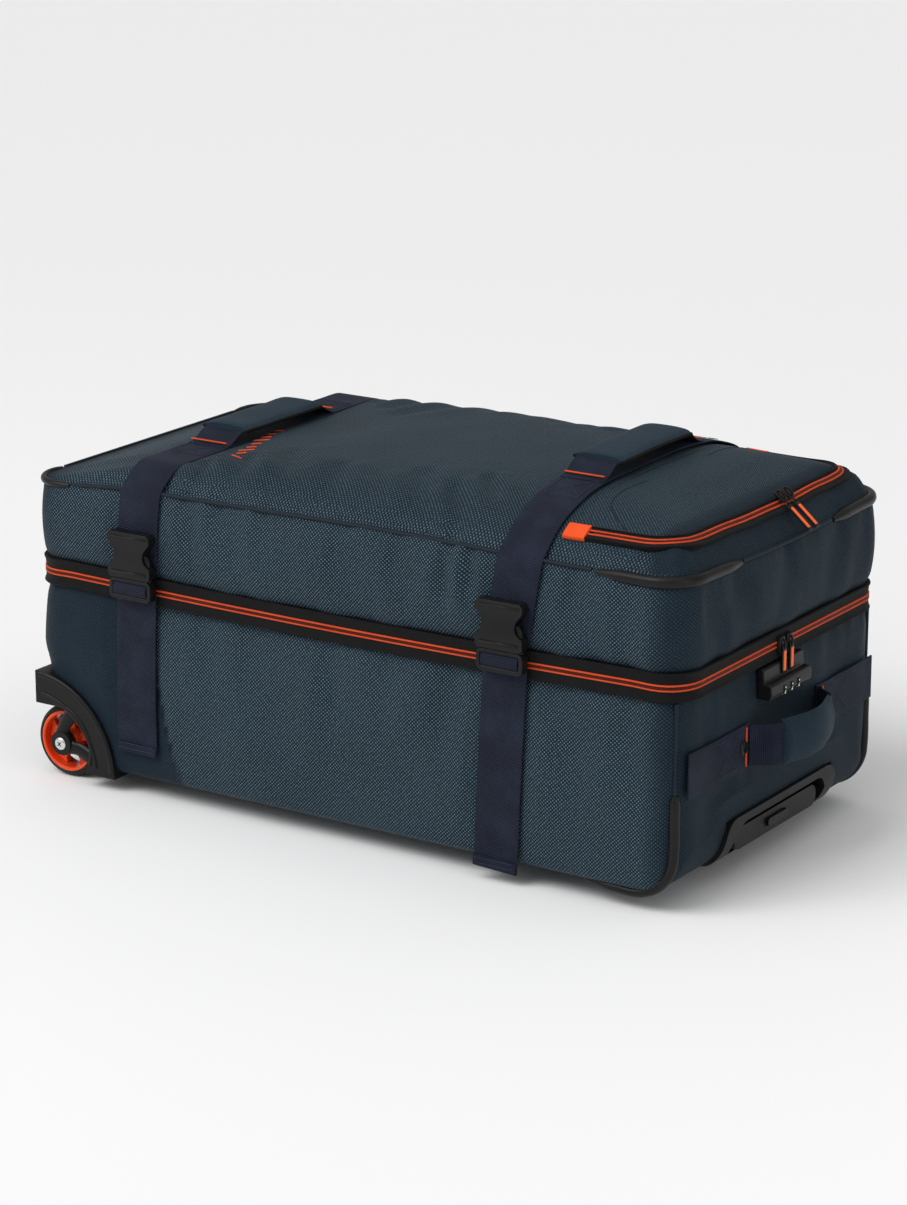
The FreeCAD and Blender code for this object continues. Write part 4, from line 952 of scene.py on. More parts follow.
def shell(name, P, distance, body, node, from_middle=False):
    """A cloth shell over a form's rings, trimmed to its opening."""
    faces, strip = closed_faces(P.shape[0], P.shape[1], from_middle)
    flat, kept = trimmed(P, faces + strip, distance)
    used = np.unique(kept)
    renumber = np.zeros(len(flat), np.int64)
    renumber[used] = np.arange(len(used))
    build = Build()
    build.add(flat[used], renumber[kept])
    looks = [M["weave"], M["lining"]]
    obj = build.piece(name, body, looks, "weave", smooth=50, replaces=(node,), thick=CLOTH)
    facing = sum(p.normal.dot(p.center - Vector((MID, 0, ZIP))) for p in obj.data.polygons)
    if facing < 0:
        obj.data.flip_normals()
    box_uv(obj)
    return cloth_values(obj)


def fabric_shells():
    """The cloth of the base, the lid and the pocket's flap."""
    shell("base_cloth", BASE, base_gap, "root", "base_shell", from_middle=True)
    shell("lid_cloth", LID, lid_gap, "lid", "lid_shell")
    shell("flap_cloth", LID, flap_gap, "flap", "flap_panel")


# ---------------------------------------------------------------- zips

def striped(profile, first, past):
    """Material numbers across a tape, with its orange stripe on some of the strips."""
    return [int(first <= k < past) for k in range(len(profile))]


def zip_half(name, body, node, sign):
    """Half of the main zip: a black tape with a rolled edge and an orange stripe along the coil."""
    deep = 0.0140 if sign > 0 else 0.0134
    stripe = [(-0.002, 0.0006), (0.0015, 0.0006), (0.0018, 0.0014), (0.0025, 0.0017), (0.0028, 0.0022),
              (0.0028, 0.0026), (0.0025, 0.0031), (0.0018, 0.0034), (0.0021, 0.0075)]
    rolled = [(0.0027, -0.0028), (0.0035, -0.0018), (0.0037, -0.0006), (0.0028, 0.0004), (0.0008, 0.0004),
              (-0.002, -0.001)]
    profile = stripe + [(o, deep + h) for o, h in rolled]
    edge = ring(0.0)
    level = ZIP + zip_lift(edge[:, 0])
    P = np.stack([np.column_stack([edge + NORMAL * o, level + sign * h]) for o, h in profile], 1)
    uv = np.stack(np.meshgrid(run_of(edge), run_of(np.array(profile)), indexing="ij"), -1)
    build = Build().grid(P, close_u=True, close_v=True, mat=striped(profile, 2, 7), uv=uv)
    build.piece(name, body, [M["tape"], M["orange"]], "zip_tape", replaces=(node,), smooth=45)


def zip_coil(name, body, sign):
    """The main zip's coil: one small tapered tooth after another."""
    core, normal = outline(0.0012, 40)
    edge = ring(0.0, core, normal)
    run = run_of(edge)
    count = int(run[-1] / TOOTH_PITCH)
    places = (np.arange(count) + (0.25 if sign > 0 else 0.75)) * TOOTH_PITCH
    at = read_at(places, run, edge)
    out = unit(read_at(places, run, normal))
    along = np.stack([-out[:, 1], out[:, 0]], 1)
    level = ZIP + zip_lift(at[:, 0])
    build = Build()
    for k in range(count):
        verts = []
        for far, wide, tall in ((0.0012, 0.0008, 0.0010), (0.0026, 0.0005, 0.0007)):
            for sx, sz in TOOTH:
                x, y = at[k] + out[k] * far + along[k] * sx * wide
                verts.append((x, y, level[k] + sign * (0.0007 + sz * tall)))
        build.add(verts, TOOTH_FACES)
    build.piece(name, body, M["teeth"], "zip_metal", smooth=30)


def pocket_path(extra):
    """The pocket's outline from the front end of the fold, round the handle end, to the rear."""
    radius = POCKET_CORNER + extra
    half_y = HALF_W - POCKET_INSET + extra
    x_end = POCKET_END + extra
    points = [(POCKET_FOLD, -half_y)]
    points += arc_points((x_end - radius, -half_y + radius), radius, -90, 0, 14)
    points += arc_points((x_end - radius, half_y - radius), radius, 0, 90, 14)
    points.append((POCKET_FOLD, half_y))
    return path_of(points, 0.004, smooth=False)


def settled(values, times):
    """The same run of values with its small ripples averaged away."""
    values = np.array(values, float)
    for _ in range(times):
        values[1:-1] = 0.5 * values[1:-1] + 0.25 * (values[:-2] + values[2:])
    return values


def pocket_zip():
    """The two tapes of the pocket's zip, standing on the dome along the pocket's edge."""
    middle = pocket_path(-0.0066)
    tangent = unit(np.gradient(middle, axis=0))
    outward = np.stack([tangent[:, 1], -tangent[:, 0]], 1)
    height = settled(top_height(middle[:, 0], middle[:, 1]), 30)
    run = run_of(middle)
    slope = []
    for offset in (-0.008, 0.008):
        xy = middle + outward * offset
        slope.append(top_height(xy[:, 0], xy[:, 1]))
    tilt = settled(np.clip((slope[1] - slope[0]) / 0.016, -1.2, 0.2), 20)
    fall = unit(np.column_stack([outward, tilt]))
    along = np.column_stack([tangent, np.gradient(height) / np.gradient(run)])
    up = unit(np.cross(fall, along))
    up *= np.sign(up[:, 2:3])
    spine = np.column_stack([middle, height + 0.0005])

    def strip(profile):
        """Points across the zip at each place on its spine: profile is (outwards, up)."""
        return np.stack([spine + fall * o + up * h for o, h in profile], 1)

    halves = (
        ("pocket_zip_outer_tape", "lid", "pocket_zip_outer", 1, 0.0098, 0.0030),
        ("pocket_zip_inner_tape", "flap", "pocket_zip_inner", -1, 0.0075, 0.0016),
    )
    for name, body, node, sign, wide, roll in halves:
        profile = [(0.0006, -0.001), (0.0006, 0.0014), (0.0013, 0.0018), (0.0016, 0.0024), (0.0022, 0.0026),
                   (0.0029, 0.0024), (0.0033, 0.0018), (0.0055, 0.0018), (wide - 0.0016, 0.0018 + roll * 0.7),
                   (wide - 0.0004, 0.0016 + roll * 0.7), (wide + 0.0005, 0.0004 + roll * 0.2), (wide, -0.002)]
        P = strip([(sign * o, h) for o, h in profile])
        spread = np.array([o for o, _ in profile])
        uv = np.stack(np.meshgrid(run, spread, indexing="ij"), -1)
        build = Build().grid(P, close_v=True, mat=striped(profile, 2, 6), uv=uv, caps=True)
        build.piece(name, body, [M["tape"], M["orange"]], "zip_tape", replaces=(node,), smooth=45)
        teeth = Build()
        places = np.arange(0.030, run[-1] - 0.030, TOOTH_PITCH) + (0.0006 if sign > 0 else 0.0018)
        at = read_at(places, run, spine)
        f = unit(read_at(places, run, fall))
        u = unit(read_at(places, run, up))
        a = np.cross(f, u)
        for k in range(len(places)):
            verts = [at[k] + f[k] * sign * (0.0006 + sz * 0.0007) + u[k] * h + a[k] * sx * w
                     for h, w in ((0.0008, 0.0008), (0.0024, 0.0005))
                     for sx, sz in TOOTH]
            teeth.add(verts, TOOTH_FACES)
        teeth.piece("pocket_coil_" + body, body, M["teeth"], "zip_metal", smooth=30)
    tabs = Build()
    length = 0.027
    for flip in (False, True):
        order = slice(None, None, -1) if flip else slice(None)
        line = spine[order]
        distance = run_of(line)
        keep = distance < length
        line, f, u = line[keep], fall[order][keep], up[order][keep]
        rows = [(0.0102, -0.001), (0.0106, 0.002), (0.0095, 0.0042), (0.003, 0.0046), (-0.004, 0.0042),
                (-0.0075, 0.0032), (-0.0082, 0.0012), (-0.008, -0.001)]
        P = np.stack([line + f * o + u * h for o, h in rows], 1)
        tabs.grid(P, close_v=True, caps=True)
    tabs.piece("pocket_zip_tab_cloth", "lid", M["orange_cloth"], "orange_trim", replaces=("pocket_zip_tabs",),
               bevel=0.0006)


def main_zips():
    """Tape and coil for both halves of the main zip."""
    zip_half("main_zip_upper_tape", "lid", "main_zip_upper", 1)
    zip_half("main_zip_lower_tape", "root", "main_zip_lower", -1)
    zip_coil("main_coil_upper", "lid", 1)
    zip_coil("main_coil_lower", "root", -1)


# ---------------------------------------------------------------- piping, bumpers and corner beads

def seam_path(keep, outset, drop=0.0):
    """Stretches of the top seam where keep says so, as lists of points."""
    core, normal = outline(0.004, 14)
    edge = ring(0.0, core, normal) + normal * outset
    z = SEAM + seam_lift(edge[:, 0], edge[:, 1]) - drop
    points = np.column_stack([edge, z])
    shift = len(points) // 2
    points = np.roll(points, shift, axis=0)
    wanted = np.roll(keep(edge[:, 0] - MID, edge[:, 1]), shift)
    runs, current = [], []
    for point, use in zip(points, wanted):
        if use:
            current.append(point)
        elif current:
            runs.append(np.array(current))
            current = []
    if current:
        if runs and wanted[0]:
            runs[0] = np.concatenate([np.array(current), runs[0]])
        else:
            runs.append(np.array(current))
    return runs


def on_bumper(x, y):
    """True on the top seam's corners, where rubber covers the piping."""
    handle = (x > HALF_L - 0.095) & (abs(y) > HALF_W - 0.112)
    wheel = (x < -HALF_L + 0.055) & (abs(y) > HALF_W - 0.055)
    return handle | wheel


def lid_trim():
    """Piping along the top seam and a rubber bumper round each of its corners."""
    build = Build()
    for run in seam_path(lambda x, y: ~on_bumper(x, y), 0.0004):
        build.tube(run, 0.0021, sides=10)
    build.piece("top_seam_piping", "lid", M["plain_trim"], "rubber_trim", replaces=("lid_piping",), smooth=60)
    build = Build()
    for run in seam_path(on_bumper, 0.0012, 0.001):
        share = np.linspace(0, 1, len(run))
        taper = np.clip(np.minimum(share, 1 - share) / 0.16, 0, 1)
        full = 0.0032 if run[0][0] > MID else 0.0012
        radius = 0.0022 + full * np.sin(taper * math.pi / 2)
        build.tube(run, radius, sides=16, flat=1.12)
    build.piece("corner_bumpers", "lid", M["rubber"], "rubber_trim", replaces=("lid_bumpers",), smooth=60)


def base_trim():
    """Thick rubber beads round the lower corners at the handle end, thinning upwards into piping."""
    build, piping = Build(), Build()
    bead_low, bead_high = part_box("base_edge_trim")
    x = bead_high.x - 0.0045
    y_side = -bead_low.y - 0.0045
    low = bead_low.z + 0.0045
    for side in (-1, 1):
        y = side * y_side
        points = [(x, y, z) for z in (ZIP_LOW - 0.001, 0.190, 0.150, 0.125, 0.100)]
        points += [(a, y, b) for a, b in arc_points((x - TOE, low + TOE), TOE, 0, -90, 10)]
        points += [(x - 0.060, y, low + 0.0005), (x - 0.075, y, low + 0.001), (x - 0.095, y, low + 0.003)]
        path = path_of(points, 0.003)
        run = run_of(path)
        thick = 0.0018 + 0.0034 * step(0.084, 0.100, run)
        thick *= 1 - 0.55 * step(run[-1] - 0.03, run[-1], run)
        upper = run < 0.090
        build.tube(path[~upper], thick[~upper], sides=14, up=(0, 1, 0))
        piping.tube(path[run < 0.096], 0.0019, sides=10, up=(0, 1, 0))
        second = path[upper] + np.array((0.0022, -side * 0.011, 0))
        piping.tube(second, 0.0013, sides=8, up=(0, 1, 0))
    build.piece("corner_beads", "root", M["rubber"], "rubber_trim", replaces=("base_edge_trim",), smooth=60)
    piping.piece("corner_piping", "root", M["plain_trim"], "rubber_trim", smooth=60)


# ---------------------------------------------------------------- straps

def strap_path(key, offset, y_reach=None):
    """Over the lid from side to side along one strap's line, moved outwards."""
    x = STRAPS[key] + float(lean(key, 0.37))
    side_level = np.linspace(ZIP_TOP + 0.012, SEAM + 0.002, 14)
    out = HALF_W + 0.0015 + offset
    front = [(-out - 0.0012 * math.sin((z - ZIP_TOP) / (SEAM - ZIP_TOP) * math.pi), z) for z in side_level]
    y = np.linspace(-HALF_W + 0.014, HALF_W - 0.014, 60)
    z = top_height(np.full_like(y, x), y)
    crown = list(zip(y, z + offset))
    line = np.array(front + crown + [(-a, b) for a, b in front[::-1]])
    if y_reach is not None:
        line = line[abs(line[:, 0]) <= y_reach]
    path = path_of(np.column_stack([np.full(len(line), x), line]), 0.004, smooth=False)
    path[:, 0] = STRAPS[key] + lean(key, path[:, 2])
    for _ in range(6):
        path[1:-1] = 0.5 * path[1:-1] + 0.25 * (path[:-2] + path[2:])
    return path


def stitch_line(build, points):
    """Thread: one short raised stitch after another along a line of points."""
    path = path_of(points, STITCH, smooth=False)
    for a, b in zip(path[:-1], path[1:]):
        build.tube([a, a + (b - a) * 0.4, a + (b - a) * 0.8], [THREAD * 0.7, THREAD, THREAD * 0.7], sides=5)


def straps():
    """The webbing over the lid, with an orange bar and a box of stitches where each handle is sewn on."""
    for key in STRAPS:
        path = strap_path(key, STRAP_RISE)
        path[:, 2] += 0.0006 * noise(path, 0.05, 21)
        build = Build().band(path, (1, 0, 0), 2 * STRAP_HALF, WEB)
        build.piece("strap_over_lid_" + key, "lid", M["webbing"], "webbing",
                    replaces=("upper_strap_" + key,), smooth=50)
        threads, bars = Build(), Build()
        for side in (-1, 1):
            over = [p + np.array((0, side * 0.0004, 0.0016)) for p in path]
            bar = min(over, key=lambda p: abs(p[1] - side * 0.093))
            bars.tube([bar + np.array((s * (STRAP_HALF - 0.003), 0, 0.0034)) for s in np.linspace(-1, 1, 24)],
                      0.0015, sides=8, flat=0.6)
            near, far = [min(over, key=lambda p, r=r: abs(p[1] - side * r)) for r in (0.098, 0.136)]
            across = np.array((STRAP_HALF - 0.006, 0, 0))
            corners = [near - across, near + across, far + across, far - across]
            for a, b in CROSSED_BOX:
                line = np.linspace(corners[a], corners[b], 14)
                for p in line:
                    p[2] = min(over, key=lambda q, y=p[1]: abs(q[1] - y))[2]
                stitch_line(threads, line)
        bars.piece("bartacks_" + key, "lid", M["orange"], "orange_trim", smooth=60)
        threads.piece("box_stitches_" + key, "lid", M["thread"], "webbing", smooth=60)


def sleeves():
    """The two padded carry handles, bound in black along their edges, and the webbing that ends in them."""
    for key, x in STRAPS.items():
        node = "carry_sleeve_" + key
        body = "carry_" + key
        low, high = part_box(node)
        reach = high.y
        half = (high.x - low.x) / 2
        path = strap_path(key, SLEEVE_RISE, reach)
        x = x + float(lean(key, 0.37))
        inner, edge = Build(), Build()
        shares = np.linspace(-1, 1, 15)
        puff = 0.0052 * np.sqrt(np.maximum(1 - (abs(shares) ** 3), 0)) + 0.0008
        ends = np.clip((reach - abs(path[:, 1])) / 0.010, 0, 1)[:, None] ** 0.5
        rows = section(shares * (half - 0.001), puff, 0.7)
        crumple = 1 + 0.10 * noise(path, 0.03, 31)[:, None]
        full = (0.25 + 0.75 * ends[..., None]) * crumple[..., None]
        P = (path[:, None] + np.array((1, 0, 0)) * rows[None, :, :1]
             + np.array((0, 0, 1)) * rows[None, :, 1:] * full)
        inner.grid(P, close_v=True, caps=True)
        pad = inner.piece("carry_pad_" + key, body, M["plain"], "weave", replaces=(node,), smooth=60)
        plain_weave(pad, 0.8)
        for side in (-1, 1):
            line = path + np.array((side * (half - 0.0012), 0, -0.0004))
            edge.tube(line, 0.0019, sides=8)
        edge.piece("carry_binding_" + key, body, M["tape"], "rubber_trim", smooth=60)
        for side, word in SIDES:
            root, start, end = [np.array((x, side * y, float(top_height(x, side * y)) + lift))
                                for y, lift in ((0.098, 0.0040), (0.090, 0.0055), (reach - 0.012, 0.0160))]
            mid_a = start + np.array((0, -side * 0.006, 0.0028))
            mid_b = end + np.array((0, side * 0.012, -0.0015))
            line = path_of([root, start, mid_a, mid_b, end], 0.003)
            web = Build().band(line, (1, 0, 0), 2 * STRAP_HALF - 0.002, 0.0016)
            web.piece("carry_web_%s_%s" % (word, key), None, M["webbing"], "webbing", smooth=50,
                      blend=("lid", body, (x, side * 0.098, 0.36), (x, side * (reach + 0.002), 0.36)))


def lower_straps():
    """The straps down the base, each with its free end folded back under two rows of stitching."""
    build, threads = Build(), Build()
    ladder_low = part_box("buckle_plug_front_wheel_end")[0].z
    face = HALF_W + 0.0046
    for key, foot, aside in (("wheel_end", 0.051, 0.0016), ("grip_end", 0.014, 0)):
        x = STRAPS[key]
        for side in (-1, 1):
            points = []
            for z in np.linspace(foot, ladder_low + 0.006, 40):
                swell = 0.0006 * math.sin((z - foot) / 0.19 * math.pi)
                drift = aside * step(0.12, 0.03, z) + float(lean(key, z))
                ripple = 0.0003 * noise(np.array((x, side, z)), 0.04, 9)
                points.append((x + drift, side * (face + swell + ripple), z))
            build.band(np.array(points), (1, 0, 0), 2 * STRAP_HALF, WEB)
            fold = [(p[0], p[1] + side * 0.0020, p[2]) for p in points if p[2] < foot + 0.013]
            build.band(path_of(fold, 0.002), (1, 0, 0), 2 * STRAP_HALF - 0.0006, 0.0016)
            for lift in (0.004, 0.0095):
                row = [(points[0][0] + s * (STRAP_HALF - 0.003), side * (face + 0.0034), foot + lift)
                       for s in np.linspace(-1, 1, 10)]
                stitch_line(threads, row)
    build.piece("base_straps", "root", M["webbing"], "webbing", replaces=("lower_straps",), smooth=50)
    threads.piece("base_strap_stitches", "root", M["thread"], "webbing", smooth=60)


# ---------------------------------------------------------------- buckles

def socket_outline(x, z, wide, tall):
    """The socket's face: straight top, a round side-release notch in each edge, and a wider foot."""
    h = wide / 2
    points = [(-h + 0.003, tall), (-h, tall - 0.003), (-h, tall - 0.009)]
    points += [(-h + 0.0032, tall - 0.0130), (-h + 0.0072, tall - 0.0180), (-h + 0.0086, tall - 0.0235),
               (-h + 0.0076, tall - 0.0290), (-h + 0.0034, tall - 0.0330), (-h + 0.0006, tall - 0.0345)]
    points += [(-h, tall - 0.0365), (-h, 0.003), (-h + 0.003, 0)]
    return [(x + a, z + b) for a, b in points + [(-a, b) for a, b in points[::-1]]]


def buckles():
    """Four side-release buckles: sockets on the lid's straps, plugs with ladders on the base's."""
    low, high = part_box("buckle_sockets")
    sockets = Build()
    for key, x in STRAPS.items():
        x = x + float(lean(key, 0.24))
        for side, word in SIDES:
            plug_low, plug_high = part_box("buckle_plug_%s_%s" % (word, key))
            outer = high.y
            inner = HALF_W + 0.0054
            face = sorted((side * outer, side * inner))
            wide = plug_high.x - plug_low.x - 0.001
            sockets.prism(socket_outline(x, low.z, wide, high.z - low.z), *face)
            y_mid = side * (outer + inner) / 2
            # the raised frame round the socket's front, and the bar that the strap goes over
            foot, brow = (wide - 0.010, 0.0016, 0.0030), (wide - 0.006, 0.0014, 0.0020)
            sockets.block((x, side * (outer + 0.0003), low.z + 0.0065), foot, 0.0005)
            sockets.block((x, side * (outer + 0.0002), high.z - 0.0045), brow, 0.0005)
            # the plug: ladder frame, two bars, prongs that show in the notches
            plug = Build()
            h = wide / 2
            top = low.z - 0.0008
            base = plug_low.z
            frame_points = rounded_box((x, (top + base) / 2), wide - 0.001, top - base, 0.006)
            gap = rounded_box((x, (top + base) / 2 + 0.0004), wide - 0.010, top - base - 0.0085, 0.0018)
            plug.prism(frame_points, face[0] + 0.0012, face[1] - 0.0012, holes=(gap,))
            plug.block((x, side * (outer - 0.0075), (top + base) / 2), (wide - 0.009, 0.0035, 0.0032), 0.0009)
            for end in (-1, 1):
                edge_x = x + end * (h - 0.0052)
                prong = [(edge_x - end * inwards, y_mid, top + up)
                         for inwards, up in ((0, -0.001), (0, 0.006), (0.0004, 0.014), (0.0020, 0.0215),
                                             (0.0050, 0.0250))]
                plug.tube(path_of(prong, 0.002), 0.0036, up=(0, 1, 0))
            plug.block((x, y_mid, top + 0.008), (0.008, 0.006, 0.018), 0.001)
            place = "%s_%s" % (word, key)
            plug.piece("plug_" + place, "plug_" + place, M["plastic"], "black_plastic",
                       replaces=("buckle_plug_" + place,), bevel=0.0009)
            # webbing looped over the ladder's bar
            turns = ((inner + 0.0016, base + 0.001), (inner + 0.004, base + 0.0030),
                     (outer - 0.0030, base + 0.0048), (outer - 0.0010, (top + base) / 2),
                     (outer - 0.0030, top - 0.0048), (inner + 0.003, top - 0.0030))
            loop = [(x, side * y, z) for y, z in turns]
            web = Build().band(path_of(loop, 0.0015), (1, 0, 0), wide - 0.0115, 0.0016)
            web.piece("ladder_web_" + place, "plug_" + place, M["webbing"], "webbing", smooth=50)
    sockets.piece("buckle_socket_bodies", "lid", M["plastic"], "black_plastic", replaces=("buckle_sockets",),
                  bevel=0.0012)


# ---------------------------------------------------------------- wheels and their guards

def wheels():
    """Each wheel's tyre and its five-spoked orange hub."""
    for _, word in SIDES:
        low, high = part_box("tyre_" + word)
        centre = ((low.x + high.x) / 2, (low.y + high.y) / 2, (low.z + high.z) / 2)
        radius = (high.z - low.z) / 2
        half = (high.y - low.y) / 2
        rim = radius - 0.006
        tyre = Build()
        shoulder = [(rim + 0.0002, half - 0.0006), (radius - 0.0045, half), (radius - 0.0022, half - 0.0012),
                    (radius - 0.0007, half - 0.0035), (radius, half - 0.0068)]
        tyre.lathe([(r, -h) for r, h in shoulder] + shoulder[::-1], centre, "y", 72)
        tyre.piece("tyre_tread_" + word, "wheel_" + word, M["tyre"], "tyre",
                   replaces=("tyre_" + word,), smooth=40)
        hub = Build()
        hub.lathe([(rim - 0.0035, -half), (rim - 0.0010, -half - 0.0006), (rim, -half + 0.0004),
                   (rim, half - 0.0004), (rim - 0.0010, half + 0.0006), (rim - 0.0035, half),
                   (rim - 0.0045, half - 0.004), (rim - 0.0045, -half + 0.004)], centre, "y", 72)
        hub.lathe([(0.0082, -half + 0.0022), (0.0120, -half + 0.0022), (0.0135, -0.003), (0.0135, 0.003),
                   (0.0120, half - 0.0022), (0.0082, half - 0.0022)], centre, "y", 40)
        for k in range(5):
            angle = 2 * math.pi * k / 5 + 0.35
            edge = ((0.0115, 0.44), (0.0170, 0.30), (0.0235, 0.24), (rim - 0.003, 0.36))
            left = [(r * math.cos(angle - s), r * math.sin(angle - s)) for r, s in edge]
            right = [(r * math.cos(angle + s), r * math.sin(angle + s)) for r, s in edge[::-1]]
            spoke = [(centre[0] + a, centre[2] + b) for a, b in left + right]
            hub.prism(spoke, centre[1] - 0.0035, centre[1] + 0.0035)
        hub.piece("hub_spokes_" + word, "wheel_" + word, M["hub"], "orange_hub", replaces=("hub_" + word,),
                  bevel=0.0009, smooth=40)


def guards():
    """Ridges moulded on each wheel guard, over the frame's own guard, and a lip round the wheel."""
    build = Build()
    x0, z0, radius = GUARD
    for side in (-1, 1):
        face = -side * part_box("wheel_housing_front")[0].y
        ridges = (
            ((x0, z0), radius - 0.0035, 3, 87, 50, face, 0.0033, 0.512),
            ((x0, z0), 0.078, 6, 84, 50, face, 0.0023, 0.64),
            (AXLE, 0.0455, -18, 92, 44, face - side * 0.0006, 0.0022, 0.9),
        )
        for centre, reach, first, last, count, y, thick, flat in ridges:
            path = [(x, y, z) for x, z in arc_points(centre, reach, first, last, count)]
            build.tube(path, thick, sides=10, up=(0, 1, 0), flat=flat)
    build.piece("guard_ridges", "root", M["guard"], "black_plastic", smooth=60)


def fork_arms():
    """An S-shaped arm over each wheel, from the guard above to the guard beside, round the axle's boss."""
    arms = Build()
    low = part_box("fork_arms")[0]
    cx, cz = AXLE
    upper = ((0, 0), (-0.001, 0.010), (0.004, 0.022), (0.013, 0.035), (0.018, 0.046))
    lower = ((0, 0), (0.010, -0.003), (0.022, -0.004), (0.034, -0.009), (0.047, -0.013))
    for side in (-1, 1):
        y = side * (-low.y - 0.0045)
        for points in (upper, lower):
            path = path_of([(cx + a, y, cz + b) for a, b in points], 0.002)
            arms.tube(path, np.interp(np.linspace(0, 1, len(path)), [0, 0.3, 1], [0.0105, 0.0072, 0.0092]),
                      sides=14, up=(0, 1, 0), flat=0.46)
        arms.lathe([(0.0042, -0.0046), (0.0125, -0.0046), (0.0135, -0.003), (0.0135, 0.003), (0.0125, 0.0046),
                    (0.0042, 0.0046)], (cx, y, cz), "y", 40)
    arms.piece("fork_arm_castings", "root", M["plastic"], "black_plastic", replaces=("fork_arms",), smooth=50)
    bolts = Build()
    tip = -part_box("wheel_axles")[0].y
    for side in (-1, 1):
        y = side * tip
        head = ((0.0001, 0), (0.0046, 0), (0.0062, 0.0007), (0.0068, 0.0016), (0.0066, 0.0026),
                (0.004, 0.0027), (0.004, 0.040), (0.0001, 0.040))
        bolts.lathe([(r, side * (tip - deep)) for r, deep in head], (cx, 0, cz), "y", 36)
        for k in range(2):
            turn = Matrix.Rotation(math.radians(45 + 90 * k), 3, "Y")
            bolts.block((cx, y, cz), (0.0062, 0.0005, 0.0011), 0.0, turn, mat=1)
    bolts.piece("axle_bolts", "root", [M["steel"], M["plastic"]], "steel",
                replaces=("wheel_axles",), smooth=40)


# ---------------------------------------------------------------- lock, sliders and pulls

def puller(build, top, length, wide, direction, out):
    """A long black-rimmed pull with an orange insert: a ring at the top, then the moulded tab."""
    top, direction, out = np.array(top, float), unit(direction), unit(out)
    across = np.cross(direction, out)
    turn = Matrix(np.stack([across, direction, out], 1).tolist())
    middle = top + direction * (length * 0.56)
    build.block(middle, (wide, length * 0.84, 0.0022), 0.0010, turn)
    build.block(middle + out * 0.0006, (wide * 0.60, length * 0.70, 0.0024), 0.0010, turn, mat=1)
    ring_path = []
    for a in np.linspace(0, 2 * math.pi, 20):
        down = length * 0.10 + length * 0.11 * math.sin(a)
        ring_path.append(top + across * (0.36 * wide * math.cos(a)) + direction * down)
    build.tube(ring_path, 0.0007, sides=6, up=out, caps=False)


def sliders():
    """Zip sliders: a crowned plate with a bridge, and the pulls that hang from them."""
    for key in ("a", "b"):
        low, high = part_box("main_slider_" + key)
        centre = (low + high) / 2
        build = Build()
        build.block(centre, tuple(high - low), 0.0013)
        bridge = [(high.x - 0.0005, centre.y, high.z - 0.002), (high.x + 0.0022, centre.y, high.z - 0.0045),
                  (high.x + 0.0026, centre.y, centre.z), (high.x + 0.0018, centre.y, low.z + 0.004),
                  (high.x - 0.0005, centre.y, low.z + 0.002)]
        build.tube(path_of(bridge, 0.001), 0.0012, sides=10, up=(0, 1, 0))
        build.piece("slider_main_" + key, "main_slider_" + key, M["plastic"], "black_plastic",
                    replaces=("main_slider_" + key,), smooth=45)
        low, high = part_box("main_pull_" + key)
        tab = Build()
        puller(tab, ((low.x + high.x) / 2, (low.y + high.y) / 2, high.z - 0.001), high.z - low.z - 0.001,
               high.y - low.y, (0, 0, -1), (1, 0, 0))
        tab.piece("pull_main_" + key, "main_pull_" + key, [M["plastic"], M["pull"]], "orange_trim",
                  replaces=("main_pull_" + key,), smooth=45)


def zip_lock():
    """The combination lock's body, its three dials with their marks, and the release."""
    low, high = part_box("lock_housing")
    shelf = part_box("lock_dial_1")[1].z + 0.0035
    build = Build()
    side_view = [(low.x - 0.0008, low.z + 0.001), (high.x - 0.004, low.z), (high.x - 0.0008, low.z + 0.0025),
                 (high.x, low.z + 0.006), (high.x - 0.0012, shelf - 0.001), (high.x - 0.003, shelf),
                 (low.x + 0.0072, shelf + 0.0005), (low.x + 0.0062, high.z - 0.001), (low.x + 0.004, high.z),
                 (low.x - 0.0008, high.z)]
    made = bmesh.new()
    made.faces.new([made.verts.new((x, low.y, z)) for x, z in side_view])
    build.push(made, high.y - low.y)
    build.piece("lock_body", "root", M["plastic"], "black_plastic", replaces=("lock_housing",), bevel=0.0012)
    marks = Build()
    for key in (1, 2, 3):
        d_low, d_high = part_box("lock_dial_%d" % key)
        centre = (d_low + d_high) / 2
        marks.block((high.x + 0.0001, centre.y, low.z + 0.0030), (0.0006, 0.0020, 0.0020), 0.0002)
        half = (d_high.y - d_low.y) / 2
        radius = (d_high.z - d_low.z) / 2
        dial = Build()
        dial.lathe([(radius - 0.0012, -half), (radius, -half + 0.0009), (radius, half - 0.0009),
                    (radius - 0.0012, half), (0.0016, half), (0.0016, -half)], centre, "y", 40)
        ridge, mark = (0.0009, 2 * half, 0.0007), (0.0003, 0.0012, 0.0018)
        for k in range(10):
            for turn, reach, dims, mat in ((0, radius, ridge, 0), (0.31, radius + 0.0001, mark, 1)):
                a = 2 * math.pi * k / 10 + turn
                place = centre + Vector((reach * math.cos(a), 0, reach * math.sin(a)))
                dial.block(place, dims, 0.0, Matrix.Rotation(-a, 3, "Y"), mat)
        dial.piece("dial_wheel_%d" % key, "dial_%d" % key, [M["plastic"], M["white"]], "black_plastic",
                   replaces=("lock_dial_%d" % key,), smooth=40)
    marks.piece("lock_marks", "root", M["white"], "black_plastic", smooth=40)
    r_low, r_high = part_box("lock_release")
    centre = (r_low + r_high) / 2
    button = Build()
    size = r_high - r_low
    button.block(centre, tuple(size), 0.0008)
    for k in range(4):
        place = (r_high.x, centre.y + (k - 1.5) * 0.0022, centre.z)
        button.block(place, (0.0007, 0.0008, size.z - 0.002), 0.0002)
    button.piece("lock_release_key", "release_button", M["plastic"], "black_plastic",
                 replaces=("lock_release",), smooth=40)


